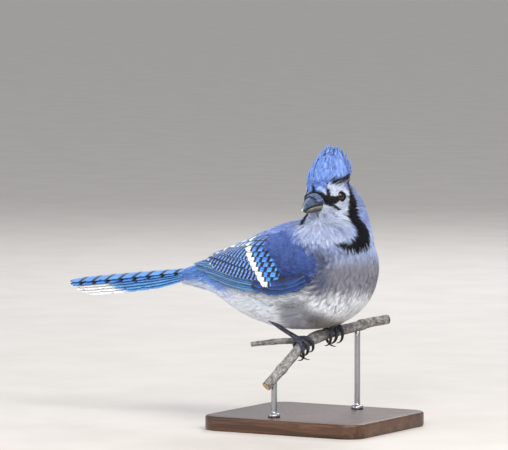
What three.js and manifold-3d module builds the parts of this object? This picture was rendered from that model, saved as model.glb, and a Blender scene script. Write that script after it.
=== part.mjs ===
// A life-size blue jay, perched on a cut forked twig that a plain display stand holds up.
// The bird faces +X with its tail along -X, its left side is +Y and up is +Z. It looks back over its
// right shoulder. The origin is the centre of the stand's underside, on the floor. Lengths are millimetres
// and angles are degrees.
import * as THREE from "three";
import { mergeVertices } from "three/addons/utils/BufferGeometryUtils.js";
import Module from "manifold-3d";

const wasm = await Module();
wasm.setup();

// Driving dimensions
const PERCH_HEIGHT = 62; // floor to the twig between the feet, where the bird's own frame starts
const FACE_GAP = 0.3; // clearance between neighbouring pieces
const VANE_THICKNESS = 0.7;
const TAIL_CUT_X = -80; // where the tail's coverts start
const TAIL_LENGTH = 119; // from that cut to the tip of the longest tail feather
const TAIL_PITCH = -6.6;
const TAIL_ROLL = 15; // the tail's right edge hangs lower than its left
const HEAD_CENTRE = new THREE.Vector3(11, -5.6, 96.5);
const HEAD_YAW = -87; // the head is turned this far to the bird's right
const EYE_RADIUS = 4.5;
const BILL_TIP = 36.2; // in front of the head's centre
const CREST_HEIGHT = 37.5; // crest tip above the head's centre
const TARSUS_RADIUS = 1.35;
const TOE_RADIUS = 1.3;
const CLAW_RADIUS = 0.95;
const BRANCH_RADIUS = 3.7;
const TWIG_RADIUS = 1.9;
const BASE_LENGTH = 124;
const BASE_WIDTH = 108;
const BASE_THICKNESS = 10;
const BASE_CORNER = 14;
const ROD_RADIUS = 2;

// The body's profile from the tail coverts to the breast: its top line, bottom line and half width at each x
const BODY_X = [-106, -92, -80, -66, -52, -36, -16, 4, 20, 33, 41, 46.5];
const BODY_TOP = [42, 47.5, 52.5, 58.5, 64, 70.8, 79.2, 84.5, 83, 77.5, 69, 59];
const BODY_BOTTOM = [35, 32, 28, 21, 14, 8.7, 5.4, 6.3, 11, 19.5, 31, 44];
const BODY_HALF = [6, 10, 14, 20.5, 26.5, 31.5, 35.5, 36.5, 33.5, 27, 18, 7];
const WIDEST_SHARE = 0.47; // how far up from the bottom line the body is widest

const radians = THREE.MathUtils.degToRad;
const lerp = THREE.MathUtils.lerp;
const clamp = THREE.MathUtils.clamp;
const vec = (x, y, z) => new THREE.Vector3(x, y, z);

// A smooth function through the points that never overshoots them
function through(xs, ys) {
  const slopes = xs.slice(1).map((x, i) => (ys[i + 1] - ys[i]) / (x - xs[i]));
  const tangents = xs.map((_, i) => {
    const before = slopes[Math.max(i - 1, 0)];
    const after = slopes[Math.min(i, slopes.length - 1)];
    return before * after <= 0 ? 0 : (2 * before * after) / (before + after);
  });
  return (x) => {
    let i = 0;
    while (i < xs.length - 2 && x > xs[i + 1]) i++;
    const h = xs[i + 1] - xs[i];
    const t = clamp((x - xs[i]) / h, 0, 1);
    const rise = (3 - 2 * t) * t * t;
    const bend = tangents[i] * t * (1 - t) * (1 - t) - tangents[i + 1] * t * t * (1 - t);
    return lerp(ys[i], ys[i + 1], rise) + h * bend;
  };
}

const ease = (t) => {
  const s = clamp(t, 0, 1);
  return s * s * (3 - 2 * s);
};

const spread = (count, from, to) =>
  Array.from({ length: count }, (_, i) => lerp(from, to, count > 1 ? i / (count - 1) : 0.5));

// Turns points and triangles into a solid whose faces point outwards
function solidFrom(points, triangles) {
  let volume = 0;
  for (const [a, b, c] of triangles) volume += points[a].dot(vec(0, 0, 0).crossVectors(points[b], points[c]));
  const outwards = volume < 0 ? triangles.map(([a, b, c]) => [a, c, b]) : triangles;
  return new wasm.Manifold(
    new wasm.Mesh({
      numProp: 3,
      vertProperties: new Float32Array(points.flatMap((p) => [p.x, p.y, p.z])),
      triVerts: new Uint32Array(outwards.flat()),
    }),
  );
}

// A three.js geometry as a solid
function solidOf(geometry, matrix = new THREE.Matrix4()) {
  geometry.deleteAttribute("normal");
  geometry.deleteAttribute("uv");
  const merged = mergeVertices(geometry.applyMatrix4(matrix), 1e-3);
  return new wasm.Manifold(
    new wasm.Mesh({
      numProp: 3,
      vertProperties: new Float32Array(merged.attributes.position.array),
      triVerts: new Uint32Array(merged.index.array),
    }),
  );
}

// A closed body stretched over rings of points, with a point in the middle of each end
function skin(rings) {
  const count = rings[0].length;
  const points = rings.flat();
  const triangles = [];
  for (let i = 0; i + 1 < rings.length; i++) {
    for (let j = 0; j < count; j++) {
      const a = i * count + j;
      const b = i * count + ((j + 1) % count);
      triangles.push([a, b, b + count], [a, b + count, a + count]);
    }
  }
  const middle = (ring) => ring.reduce((sum, p) => sum.add(p), vec(0, 0, 0)).divideScalar(count);
  const first = points.push(middle(rings[0])) - 1;
  const last = points.push(middle(rings[rings.length - 1])) - 1;
  const lastRing = (rings.length - 1) * count;
  for (let j = 0; j < count; j++) {
    const k = (j + 1) % count;
    triangles.push([first, k, j], [last, lastRing + j, lastRing + k]);
  }
  return solidFrom(points, triangles);
}

// A thin closed blade. Each station holds its left top, right top, right bottom and left bottom corners,
// and both faces are split along the same diagonal.
function blade(stations) {
  const triangles = [];
  for (let i = 0; i + 1 < stations.length; i++) {
    const [a, b, c, d] = [0, 1, 2, 3].map((k) => 4 * i + k);
    const [e, f, g, h] = [4, 5, 6, 7].map((k) => 4 * i + k);
    triangles.push([a, b, f], [a, f, e], [b, c, g], [b, g, f]);
    triangles.push([c, d, g], [d, h, g], [d, a, e], [d, e, h]);
  }
  const end = 4 * (stations.length - 1);
  triangles.push([0, 3, 2], [0, 2, 1], [end, end + 1, end + 2], [end, end + 2, end + 3]);
  return solidFrom(stations.flat(), triangles);
}

// A round tube along a curve, whose radius is a function of the share of the way along it
function tube(curve, radiusAt, steps, sides, from = 0, to = 1) {
  const rings = [];
  let across = null;
  for (let i = 0; i <= steps; i++) {
    const t = lerp(from, to, i / steps);
    const along = curve.getTangentAt(t);
    const start = across ?? (Math.abs(along.z) > 0.9 ? vec(1, 0, 0) : vec(0, 0, 1));
    across = start.clone().addScaledVector(along, -start.dot(along)).normalize();
    const other = vec(0, 0, 0).crossVectors(along, across);
    const centre = curve.getPointAt(t);
    const radius = radiusAt(t);
    rings.push(
      spread(sides + 1, 0, 2 * Math.PI)
        .slice(0, -1)
        .map((a) =>
          centre
            .clone()
            .addScaledVector(across, radius * Math.cos(a))
            .addScaledVector(other, radius * Math.sin(a)),
        ),
    );
  }
  return skin(rings);
}

const union = (solids) => solids.reduce((whole, piece) => whole.add(piece));
const without = (solid, cutters) => cutters.reduce((rest, cutter) => rest.subtract(cutter), solid);
const largest = (solid) => solid.decompose().reduce((most, s) => (s.volume() > most.volume() ? s : most));

// The body's surface
const topAt = through(BODY_X, BODY_TOP);
const bottomAt = through(BODY_X, BODY_BOTTOM);
const halfAt = through(BODY_X, BODY_HALF);
const UPPER_POWER = 2 / 2.2; // slightly squarer shoulders than an ellipse
const widestAt = (x) => lerp(bottomAt(x), topAt(x), WIDEST_SHARE);

// A point of the body's skin. The angle is 0 at the widest line and 90 along the back. Lift moves it out.
function bodyPoint(x, angle, lift = 0, side = 1) {
  const c = Math.cos(radians(angle));
  const s = Math.sin(radians(angle));
  const power = s > 0 ? UPPER_POWER : 1;
  const middle = widestAt(x);
  const reach = s > 0 ? topAt(x) - middle + lift : middle - bottomAt(x) + lift;
  const y = Math.sign(c) * Math.abs(c) ** power * (halfAt(x) + lift);
  return vec(x, side * y, middle + Math.sign(s) * Math.abs(s) ** power * reach);
}

// The angle at which the body's skin is at height z
function angleAt(x, z) {
  const middle = widestAt(x);
  const share = (z - middle) / (z > middle ? topAt(x) - middle : middle - bottomAt(x));
  const sine = Math.abs(clamp(share, -1, 1)) ** (z > middle ? 1 / UPPER_POWER : 1);
  return THREE.MathUtils.radToDeg(Math.asin(sine)) * Math.sign(share);
}

const BODY_SIDES = 20;
function bodySolid(from, to, lift = 0, rings = 15) {
  const start = lift > 0 && from <= TAIL_CUT_X ? from - lift : from;
  return skin(
    spread(rings, 0, 1).map((t) => {
      const x = lerp(start, to + lift, 1 - (1 - t) ** 1.35);
      const clipped = clamp(x, BODY_X[0], BODY_X[BODY_X.length - 1]);
      return spread(BODY_SIDES + 1, -180, 180)
        .slice(1)
        .map((angle) => bodyPoint(clipped, angle, lift).setX(x));
    }),
  );
}

// The neck: a stack of level rings from inside the body to inside the head, leaning back under the nape
const NECK_Z = [58, 64, 70, 76, 82, 89, 96, 102, 107];
const neckX = through(NECK_Z, [13, 13.3, 13, 12.5, 13, 12.3, 11.7, 11.5, 11.5]);
const neckY = through(NECK_Z, [-1, -3.5, -3, -1, 4, 11.7, 13.7, 13, 11]);
const neckRadius = through(NECK_Z, [24, 30.6, 31, 29.2, 24.7, 19.4, 16, 11, 4.5]);
function neckSolid(lift = 0) {
  return skin(
    spread(10, NECK_Z[0], NECK_Z[NECK_Z.length - 1]).map((z) =>
      spread(17, 0, 360)
        .slice(1)
        .map((a) =>
          vec(
            neckX(z) + (neckRadius(z) + lift) * Math.cos(radians(a)),
            neckY(z) + (neckRadius(z) + lift) * Math.sin(radians(a)),
            z,
          ),
        ),
    ),
  );
}

// The head's own frame: forward, left and up from the head's centre
const headMatrix = new THREE.Matrix4()
  .makeRotationZ(radians(HEAD_YAW))
  .setPosition(HEAD_CENTRE);
const headPoint = (forward, left, up) => vec(forward, left, up).applyMatrix4(headMatrix);
const headForward = vec(1, 0, 0).applyAxisAngle(vec(0, 0, 1), radians(HEAD_YAW));

const HEAD_F = [-21, -18, -12, -6, 1, 8, 13, 17.5];
const headHalf = through(HEAD_F, [4, 9.5, 14.2, 15.5, 14.6, 12.2, 9.2, 5.4]);
const headUp = through(HEAD_F, [5, 9.5, 13.4, 15, 14.6, 12.2, 8.8, 4.6]);
const headDown = through(HEAD_F, [3, 8.4, 13.4, 15.5, 15.2, 13, 10.4, 7]);
function headSurface(forward, angle, lift = 0) {
  const up = Math.sin(radians(angle)) > 0 ? headUp(forward) : headDown(forward);
  return headPoint(
    forward,
    (headHalf(forward) + lift) * Math.cos(radians(angle)),
    (up + lift) * Math.sin(radians(angle)),
  );
}
function headSolid(lift = 0) {
  return skin(
    spread(11, -1, 1).map((t) => {
      const bulge = Math.sin((t * Math.PI) / 2);
      const f = lerp(HEAD_F[0] - lift, HEAD_F[HEAD_F.length - 1] + lift, (bulge + 1) / 2);
      const clipped = clamp(f, HEAD_F[0], HEAD_F[HEAD_F.length - 1]);
      return spread(17, 0, 360)
        .slice(1)
        .map((a) => headSurface(clipped, a, lift).addScaledVector(headForward, f - clipped));
    }),
  );
}

// The bill: two halves that meet along the line of the mouth
const BILL_BASE = 9;
const BILL_F = [BILL_BASE, 16, 22, 27, 31, 34, BILL_TIP];
const mouthUp = through(BILL_F, [-3, -3.2, -3.9, -4.5, -4.9, -5.3, -5.9]);
const culmenUp = through(BILL_F, [2.6, 3.6, 3, 1.6, -0.4, -2.9, -5.5]);
const billHalf = through(BILL_F, [5.6, 5.1, 4.3, 3.3, 2.3, 1.3, 0.45]);
const gonysUp = through(BILL_F, [-8.2, -8.2, -8.3, -8.1, -7.5, -6.7, -5.9]);
const LOWER_BILL_TIP = 34.6;
function upperBillPoint(f, angle, lift = 0) {
  const wide = (billHalf(f) + lift) * Math.sin(radians(angle));
  const rise = (culmenUp(f) - mouthUp(f) + lift) * Math.max(Math.cos(radians(angle)), 0) ** 0.9;
  return headPoint(f, wide, mouthUp(f) + rise);
}
function upperBillSolid(lift = 0) {
  return skin(
    spread(8, BILL_BASE - lift, BILL_TIP + lift).map((f) =>
      spread(9, -90, 90).map((a) => upperBillPoint(f, a, lift).add(vec(0, 0, Math.abs(a) < 90 ? 0 : -lift))),
    ),
  );
}
const NOSTRIL = { forward: 21.5, angle: 62, size: [1.9, 0.8, 0.8] };
function nostrilSolid(side) {
  const place = upperBillPoint(NOSTRIL.forward, side * NOSTRIL.angle);
  const shape = new THREE.Matrix4().makeScale(...NOSTRIL.size);
  shape.premultiply(new THREE.Matrix4().makeRotationZ(radians(HEAD_YAW - 8 * side))).setPosition(place);
  return solidOf(new THREE.SphereGeometry(1, 8, 6), shape);
}
function lowerBillSolid(lift = 0) {
  return skin(
    spread(7, BILL_BASE - lift, LOWER_BILL_TIP + lift).map((f) =>
      spread(7, 180, 360).map((a) => {
        const wide = (0.9 * billHalf(f) + lift) * Math.cos(radians(a));
        const drop = (mouthUp(f) - FACE_GAP - gonysUp(f) + lift) * Math.sin(radians(a));
        return headPoint(f, wide, mouthUp(f) - FACE_GAP + (a % 180 ? 0 : lift) + drop);
      }),
    ),
  );
}

// Eyes: balls sunk in the head, each ringed by its lids
const EYE_FORWARD = 0.1;
const EYE_OUT = 10.2;
const EYE_UP = 2.3;
const EYE_TURN = 28; // how far the eyes look forwards of straight out
const LID_RING = 3.5;
const LID_THICKNESS = 0.75;
const ORBIT_SIZE = [5.6, 2.6, 4.9];
const eyeCentre = (side) => headPoint(EYE_FORWARD, side * EYE_OUT, EYE_UP);
const ball = (centre, radius, sides = 12) =>
  solidOf(
    new THREE.SphereGeometry(radius, sides, Math.round(sides * 0.7)),
    new THREE.Matrix4().setPosition(centre),
  );
// Places a shape made round the Y axis in front of an eye, at a distance from the ball's centre
function eyeMatrix(side, distance, shape) {
  const turn = new THREE.Matrix4().makeRotationZ(radians(side > 0 ? -EYE_TURN : 180 + EYE_TURN));
  const inEye = turn.multiply(new THREE.Matrix4().makeTranslation(0, distance, 0)).multiply(shape);
  return new THREE.Matrix4()
    .multiplyMatrices(headMatrix, new THREE.Matrix4().makeTranslation(EYE_FORWARD, side * EYE_OUT, EYE_UP))
    .multiply(inEye);
}
function orbitSolid(side) {
  const dish = new THREE.Matrix4().makeScale(...ORBIT_SIZE);
  return solidOf(new THREE.SphereGeometry(1, 10, 6), eyeMatrix(side, EYE_RADIUS + 0.5, dish));
}
function lidSolid(side) {
  const upright = new THREE.Matrix4().makeRotationX(Math.PI / 2);
  const ring = new THREE.Matrix4().makeScale(1.04, 1, 0.93).multiply(upright);
  const distance = Math.sqrt(EYE_RADIUS ** 2 - LID_RING ** 2);
  return solidOf(new THREE.TorusGeometry(LID_RING, LID_THICKNESS, 4, 13), eyeMatrix(side, distance, ring));
}

// Lays a feather on a surface, which is a function of two coordinates and a lift. The feather runs from its
// root to its tip in those coordinates, bowed sideways in between. Its lifts, above the surface, are those of
// its root and tip. Tilt raises one edge and sinks the other, so that neighbours overlap like shingles.
const LONG_VANE = [0, 0.34, 0.66, 0.9, 1];
const SHORT_VANE = [0, 0.5, 0.86, 1];
const vaneShape = through([0, 0.3, 0.65, 0.9, 1], [0.7, 0.94, 1, 0.76, 0.28]);
function vaneOn(surface, { root, tip, bow = 0, half, lift, tilt = 0, steps = SHORT_VANE, thin = 1 }) {
  const at = (t) => [lerp(root[0], tip[0], t), lerp(root[1], tip[1], t) + bow * Math.sin(Math.PI * t)];
  return blade(
    steps.map((t) => {
      const [a, b] = at(t);
      const [nextA, nextB] = at(t + 0.01);
      const here = surface(a, b, 0);
      const alongA = surface(a + 0.1, b, 0).sub(here).multiplyScalar(10);
      const alongB = surface(a, b + 0.1, 0).sub(here).multiplyScalar(10);
      const along = alongA.clone().multiplyScalar(nextA - a).addScaledVector(alongB, nextB - b);
      const normal = vec(0, 0, 0).crossVectors(alongA, alongB);
      const across = vec(0, 0, 0).crossVectors(normal, along).setLength(half * vaneShape(t));
      // the same step across the feather, in the surface's two coordinates
      const [e, f, g] = [alongA.lengthSq(), alongA.dot(alongB), alongB.lengthSq()];
      const [p, q] = [across.dot(alongA), across.dot(alongB)];
      const stepA = (p * g - q * f) / (e * g - f * f);
      const stepB = (q * e - p * f) / (e * g - f * f);
      const height = lerp(lift[0], lift[1], t);
      const slope = tilt * Math.sign(stepB || 1);
      const thick = (VANE_THICKNESS / 2) * thin * lerp(1.2, 0.75, t);
      return [
        surface(a + stepA, b + stepB, height - slope + thick),
        surface(a - stepA, b - stepB, height + slope + thick),
        surface(a - stepA, b - stepB, height + slope - thick),
        surface(a + stepA, b + stepB, height - slope - thick),
      ];
    }),
  );
}

// The small stiff feathers that lie forward over the nostrils
const NASAL_PLUMES = 5;
const nasalPlume = (side) =>
  vaneOn(upperBillPoint, {
    root: [11.5, side * 76],
    tip: [24 - 3.5 * side ** 2, side * 66],
    half: 1.75,
    lift: [1.7, 0.75],
  });

// The crest: a slim cone of down, and feathers that lie along it in tiers, with their tips free
const CREST_UP = [7, 13, 20, 27, 33, CREST_HEIGHT];
const crestMiddle = through(CREST_UP, [-3.6, -4.6, -6.8, -9, -11, -12.5]);
const crestLong = through(CREST_UP, [17, 17.2, 14.6, 10, 5, 1]);
const crestWide = through(CREST_UP, [12, 13, 11.2, 7.6, 3.8, 0.8]);
const crestPoint = (up, angle, lift = 0) =>
  headPoint(
    crestMiddle(up) + (crestLong(up) + lift) * Math.cos(radians(angle)),
    (crestWide(up) + lift) * Math.sin(radians(angle)),
    up,
  );
const CREST_TIERS = [
  { count: 5, from: 9.5, to: 22.5, half: 4.4, lift: [0.1, 1.6] },
  { count: 5, from: 15.5, to: 29.5, half: 3.6, lift: [0, 1.7] },
  { count: 4, from: 21.5, to: 34.5, half: 2.9, lift: [0, 1.7] },
  { count: 3, from: 26, to: CREST_HEIGHT, half: 2.3, lift: [-0.2, 1.3] },
];
function crestSolid() {
  const core = skin(
    spread(4, CREST_UP[0], 31).map((up) =>
      spread(11, 0, 360)
        .slice(1)
        .map((a) => crestPoint(up, a)),
    ),
  );
  const feathers = CREST_TIERS.flatMap(({ count, from, to, half, lift }, tier) =>
    spread(count + 1, 0, 360)
      .slice(1)
      .map((middle, k) => {
        const angle = middle + (tier % 2 ? 180 / count : 0);
        const fall = 1.2 * Math.sin(5 * k + 2 * tier); // the tips end unevenly
        return vaneOn(crestPoint, { root: [from, angle], tip: [to + fall, angle], half, lift, tilt: 0.5 });
      }),
  );
  return union([core, ...feathers]);
}

// Feathers of the folded wing, draped over the body. Positions are an x and a height on the body's side.
const wingLift = (x) =>
  2.1 + 0.6 * ease((-24 - x) / 20) + 1.2 * ease((-60 - x) / 28) - 0.6 * ease((x - 8) / 13);
const wingPoint = (side) => (x, angle, lift) => bodyPoint(x, angle, wingLift(x) + lift, side);

// The tiers of the wing, from the innermost layer outwards: how many feathers, where the first and the last
// are rooted and end, their half width and their lift
const WING_TIERS = [
  {
    name: "primaries",
    count: 5,
    roots: [[-6, 38.5], [-20, 45]],
    tips: [[-60, 42.5], [-80, 50]],
    long: [-92, 46.5],
    bow: -3,
    half: 5.2,
    lift: [1, 0.9],
    steps: LONG_VANE,
  },
  {
    name: "secondaries",
    count: 5,
    roots: [[-16, 43], [-26, 57]],
    tips: [[-76, 47.5], [-62, 57]],
    bow: -5,
    half: 6.2,
    lift: [1, 2],
    steps: LONG_VANE,
  },
  {
    name: "tertials",
    count: 3,
    roots: [[-30, 60], [-35, 68.5]],
    tips: [[-68, 54.5], [-52, 61.5]],
    half: 6,
    lift: [0.6, 2.4],
    steps: LONG_VANE,
  },
  {
    name: "greater_coverts",
    count: 7,
    roots: [[0, 41.5], [-22, 67]],
    tips: [[-18.5, 41.5], [-43, 63.5]],
    half: 4.3,
    lift: [0.8, 2.6],
  },
  {
    name: "median_coverts",
    count: 5,
    roots: [[12, 43], [-14, 71]],
    tips: [[-1, 42.5], [-29, 67.5]],
    half: 5.3,
    lift: [1.2, 3.4],
  },
];
const pointBetween = ([a, b], t) => [lerp(a[0], b[0], t), lerp(a[1], b[1], t)];
const toAngle = ([x, z]) => [x, angleAt(x, z)];
function wingTier(side, { count, roots, tips, long, bow, half, lift, steps = SHORT_VANE }) {
  return spread(count, 0, 1).map((t) => {
    const tip = pointBetween(tips, t);
    if (long) {
      const reach = Math.sin(Math.PI * clamp(t * 1.15, 0, 1));
      tip[0] = lerp(tip[0], long[0], reach);
      tip[1] = lerp(tip[1], long[1], reach * 0.5);
    }
    const root = toAngle(pointBetween(roots, t));
    return vaneOn(wingPoint(side), { root, tip: toAngle(tip), bow, half, lift, tilt: 0.8, steps });
  });
}

// The feathered arm and hand, a slab that every tier is rooted in
const ARM_X = [-36, -24, -10, 4, 14, 21];
const armLow = through(ARM_X, [58, 44, 38.5, 37, 40, 47.5]);
const armHigh = through(ARM_X, [66, 72, 74, 72, 67, 58]);
function armSolid(side) {
  const stations = spread(6, ARM_X[0], ARM_X[ARM_X.length - 1]);
  const rows = spread(5, 0, 1);
  return skin(
    stations.map((x, i) => {
      const end = clamp(Math.min(i, stations.length - 1 - i) / 2, 0.5, 1);
      const angles = rows.map((t) => lerp(angleAt(x, armLow(x)), angleAt(x, armHigh(x)), t));
      const bulge = (t) => end * (0.6 + 2.2 * Math.sin(Math.PI * t));
      const outer = angles.map((a, k) => wingPoint(side)(x, a, bulge(rows[k])));
      const inner = angles.map((a) => bodyPoint(x, a, 0.1, side)).reverse();
      return [...outer, ...inner];
    }),
  );
}
const wingSolid = (side) => union([armSolid(side), ...WING_TIERS.flatMap((tier) => wingTier(side, tier))]);

// The tail: twelve feathers stacked like a closed fan, rooted in their coverts
const tailRoot = vec(TAIL_CUT_X, 0, lerp(bottomAt(TAIL_CUT_X), topAt(TAIL_CUT_X), 0.72));
const tailTurn = new THREE.Matrix4()
  .makeRotationY(radians(TAIL_PITCH))
  .multiply(new THREE.Matrix4().makeRotationX(radians(TAIL_ROLL)))
  .setPosition(tailRoot);
const tailPoint = (back, left, up) => vec(-back, left, up).applyMatrix4(tailTurn);
const TAIL_PAIRS = 6;
const TAIL_STEPS = [0, 0.3, 0.62, 0.92, 1];
const tailShape = through(TAIL_STEPS, [0.5, 0.75, 0.95, 0.8, 0.28]);
const TAIL_FEATHER_HALF = 7;
const TAIL_ROOT_BACK = 3;
function tailFeather(rank, side) {
  const length = TAIL_LENGTH - 0.62 * rank ** 2 - TAIL_ROOT_BACK;
  const level = rank + (side < 0 ? 0 : 0.5);
  return blade(
    TAIL_STEPS.map((t) => {
      const back = TAIL_ROOT_BACK + length * t;
      const out = side * (lerp(0.5, 1.2, t) * rank + lerp(0.2, 1.6, t));
      const half = TAIL_FEATHER_HALF * tailShape(t);
      const drop = -lerp(0.45, 1, ease(t * 3)) * level;
      const lean = 0.05 * rank * side;
      const thick = lerp(0.5, 0.26, t);
      return [
        tailPoint(back, out + half, drop - lean * half + thick),
        tailPoint(back, out - half, drop + lean * half + thick),
        tailPoint(back, out - half, drop + lean * half - thick),
        tailPoint(back, out + half, drop - lean * half - thick),
      ];
    }),
  );
}
const TAIL_RANKS = spread(TAIL_PAIRS, 0, TAIL_PAIRS - 1);
const tailSolid = () => union(TAIL_RANKS.flatMap((rank) => [tailFeather(rank, 1), tailFeather(rank, -1)]));
const rumpSolid = (lift = 0) => bodySolid(BODY_X[0], TAIL_CUT_X - FACE_GAP + lift, lift, 7);

// The perch: a main branch that drops away under the right foot, and a thin twig that forks off backwards
const MAIN_BRANCH = [
  [22, 64, 8.8], [16.5, 48, 7.5], [12.3, 32, 5.3], [9, 20, 4.1], [5, 8, 2.6],
  [-0.9, -4, -0.9], [-3.6, -14, -5.6], [-6, -23, -12.4], [-9.5, -33, -21], [-14, -43, -30.5],
];
const TWIG = [[-1.5, -5, -1.4], [-12, -7, -1.9], [-26, -10, -3], [-43, -13, -5.4]];
const branchCurve = new THREE.CatmullRomCurve3(MAIN_BRANCH.map((p) => vec(...p)));
const twigCurve = new THREE.CatmullRomCurve3(TWIG.map((p) => vec(...p)));
const knot = (t, at, width, size) => size * Math.exp(-(((t - at) / width) ** 2));
const KNOTS = [[0.2, 0.02, 0.5], [0.55, 0.05, 0.7], [0.86, 0.02, 0.45]];
const knotsAt = (t) => KNOTS.reduce((sum, [at, width, size]) => sum + knot(t, at, width, size), 0);
const branchRadius = (t) => BRANCH_RADIUS * lerp(1, 0.9, Math.abs(t - 0.5) * 2) + knotsAt(t);
const twigRadius = (t) => TWIG_RADIUS * lerp(1.25, 0.9, t) + knot(t, 0.62, 0.04, 0.3);
const perchSolid = (lift = 0) =>
  union([
    tube(branchCurve, (t) => branchRadius(t) + lift, 22, 9),
    tube(twigCurve, (t) => twigRadius(t) + lift, 8, 7),
  ]);

// A foot's frame at a share of the way along the branch: the twig's axis, forwards across it, and up
function gripFrame(share) {
  const centre = branchCurve.getPointAt(share);
  const axis = branchCurve.getTangentAt(share).negate(); // towards the bird's right becomes towards its left
  const forward = vec(1, 0, 0).addScaledVector(axis, -axis.x).normalize();
  const up = vec(0, 0, 0).crossVectors(forward, axis).normalize();
  return { centre, axis, forward, up, radius: branchRadius(share) };
}
const GRIPS = {
  right: { side: -1, frame: gripFrame(0.665), ankle: vec(-31, -21.5, 19) },
  left: { side: 1, frame: gripFrame(0.44), ankle: vec(-27, 21, 20) },
};
// A point at an angle round the branch: 0 is its front, 90 its top, 180 its back
function around(frame, angle, clearance, along) {
  const reach = frame.radius + clearance;
  return frame.centre
    .clone()
    .addScaledVector(frame.forward, reach * Math.cos(radians(angle)))
    .addScaledVector(frame.up, reach * Math.sin(radians(angle)))
    .addScaledVector(frame.axis, along);
}
// Each toe's start, end and claw tip as angles round the branch, and how far it spreads along the branch
const TOES = [
  { name: "inner", angles: [104, 0], claw: -104, reach: 5, spread: [-1.6, -5.6] },
  { name: "middle", angles: [104, -18], claw: -122, reach: 5.2, spread: [0, 0] },
  { name: "outer", angles: [104, 2], claw: -102, reach: 5, spread: [1.6, 5.4] },
  { name: "hind", angles: [112, 196], claw: 304, reach: 6.6, spread: [0, -2] },
];
const JOINT_ANGLE = 106;
const toeClearance = (t) => FACE_GAP + TOE_RADIUS * lerp(1.15, 0.85, t);
function toeCurve(frame, toe) {
  return new THREE.CatmullRomCurve3(
    spread(6, 0, 1).map((t) =>
      around(
        frame,
        lerp(toe.angles[0], toe.angles[1], t),
        toeClearance(t) + 0.15 + 0.5 * Math.sin(Math.PI * t),
        lerp(toe.spread[0], toe.spread[1], t),
      ),
    ),
  );
}
const toeRadius = (t) => TOE_RADIUS * lerp(1.05, 0.85, t) * (1 + 0.1 * Math.cos(6 * Math.PI * t));
function clawCurve(frame, toe) {
  const start = toe.angles[1];
  const clearance = (t) => toeClearance(1) + 0.15 + (toe.reach - 1.2) * Math.sin((Math.PI / 2) * t) * t;
  return new THREE.CatmullRomCurve3(
    spread(6, 0, 1).map((t) => around(frame, lerp(start, toe.claw, t), clearance(t), toe.spread[1])),
  );
}
const clawRadius = (t) => CLAW_RADIUS * lerp(1, 0.16, t ** 1.2);
const footJoint = (frame) => around(frame, JOINT_ANGLE, TOE_RADIUS + FACE_GAP + 0.75, 0);
function footSolid({ frame }, lift = 0) {
  const toes = TOES.map((toe) => tube(toeCurve(frame, toe), (t) => toeRadius(t) + lift, 5, 6));
  return union([ball(footJoint(frame), 2.05 + lift, 8), ...toes]);
}
const clawSolid = ({ frame }, toe) => tube(clawCurve(frame, toe), clawRadius, 5, 5);
const tarsusCurve = ({ frame, ankle, side }) => {
  const start = footJoint(frame);
  const middle = start.clone().lerp(ankle, 0.5).add(vec(-0.8, side * 0.6, -0.6));
  return new THREE.CatmullRomCurve3([start, middle, ankle]);
};
const tarsusRadius = (t) =>
  TARSUS_RADIUS * (1 + 0.25 * (2 * t - 1) ** 2 + (t > 0.12 && t < 0.9 ? 0.05 * Math.cos(40 * t) : 0));
const ANKLE_RADIUS = 2.1;
const tarsusSolid = (grip) =>
  union([tube(tarsusCurve(grip), tarsusRadius, 8, 6), ball(grip.ankle, ANKLE_RADIUS, 7)]);
// The room that the leg and the top of the foot take up in the belly
const legSleeve = (grip) =>
  union([
    tube(tarsusCurve(grip), () => TARSUS_RADIUS * 1.35 + 2 * FACE_GAP, 3, 6),
    ball(grip.ankle, ANKLE_RADIUS + 3 * FACE_GAP, 6),
    ball(footJoint(grip.frame), 3.6, 7),
    ball(around(grip.frame, 72, 0.5, 0), 5.8, 8),
  ]);

// The stand: a flat base with rounded corners and two rods
function baseSolid() {
  const [w, d, r] = [BASE_LENGTH / 2, BASE_WIDTH / 2, BASE_CORNER];
  const outline = new THREE.Shape();
  outline.moveTo(-w + r, -d);
  outline.absarc(w - r, -d + r, r, -Math.PI / 2, 0);
  outline.absarc(w - r, d - r, r, 0, Math.PI / 2);
  outline.absarc(-w + r, d - r, r, Math.PI / 2, Math.PI);
  outline.absarc(-w + r, -d + r, r, Math.PI, 1.5 * Math.PI);
  const bevel = 1.2;
  const plate = new THREE.ExtrudeGeometry(outline, {
    depth: BASE_THICKNESS - 2 * bevel,
    bevelEnabled: true,
    bevelThickness: bevel,
    bevelSize: bevel,
    bevelOffset: -bevel,
    bevelSegments: 1,
    curveSegments: 4,
  });
  return solidOf(plate, new THREE.Matrix4().makeTranslation(0, 0, bevel));
}
const RODS = { front: 0.235, back: 0.93 }; // where each rod meets the branch, as a share of its length
function rodSolid(share) {
  const top = branchCurve.getPointAt(share).add(vec(0, 0, PERCH_HEIGHT));
  const from = BASE_THICKNESS + FACE_GAP;
  const rod = new THREE.CylinderGeometry(ROD_RADIUS, ROD_RADIUS, top.z - from, 16);
  const upright = new THREE.Matrix4().makeRotationX(Math.PI / 2);
  return solidOf(rod, upright.setPosition(top.x, top.y, (top.z + from) / 2));
}

// Finishes
const finish = (color, roughness, metalness = 0) =>
  new THREE.MeshStandardMaterial({ color, roughness, metalness });
const FINISHES = {
  breast: finish(0xb9b6bb, 0.9),
  blue: finish(0x4e6fc0, 0.8),
  crest: finish(0x7d95dd, 0.85),
  face: finish(0xdfe4ee, 0.9),
  collar: finish(0x14161c, 0.9),
  horn: finish(0x2a2e35, 0.45),
  eye: finish(0x1a0f08, 0.08),
  scales: finish(0x24262c, 0.6),
  bark: finish(0x8d8478, 0.9),
  wood: finish(0x4a3020, 0.5),
  steel: finish(0x8f9296, 0.3, 0.9),
};

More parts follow.
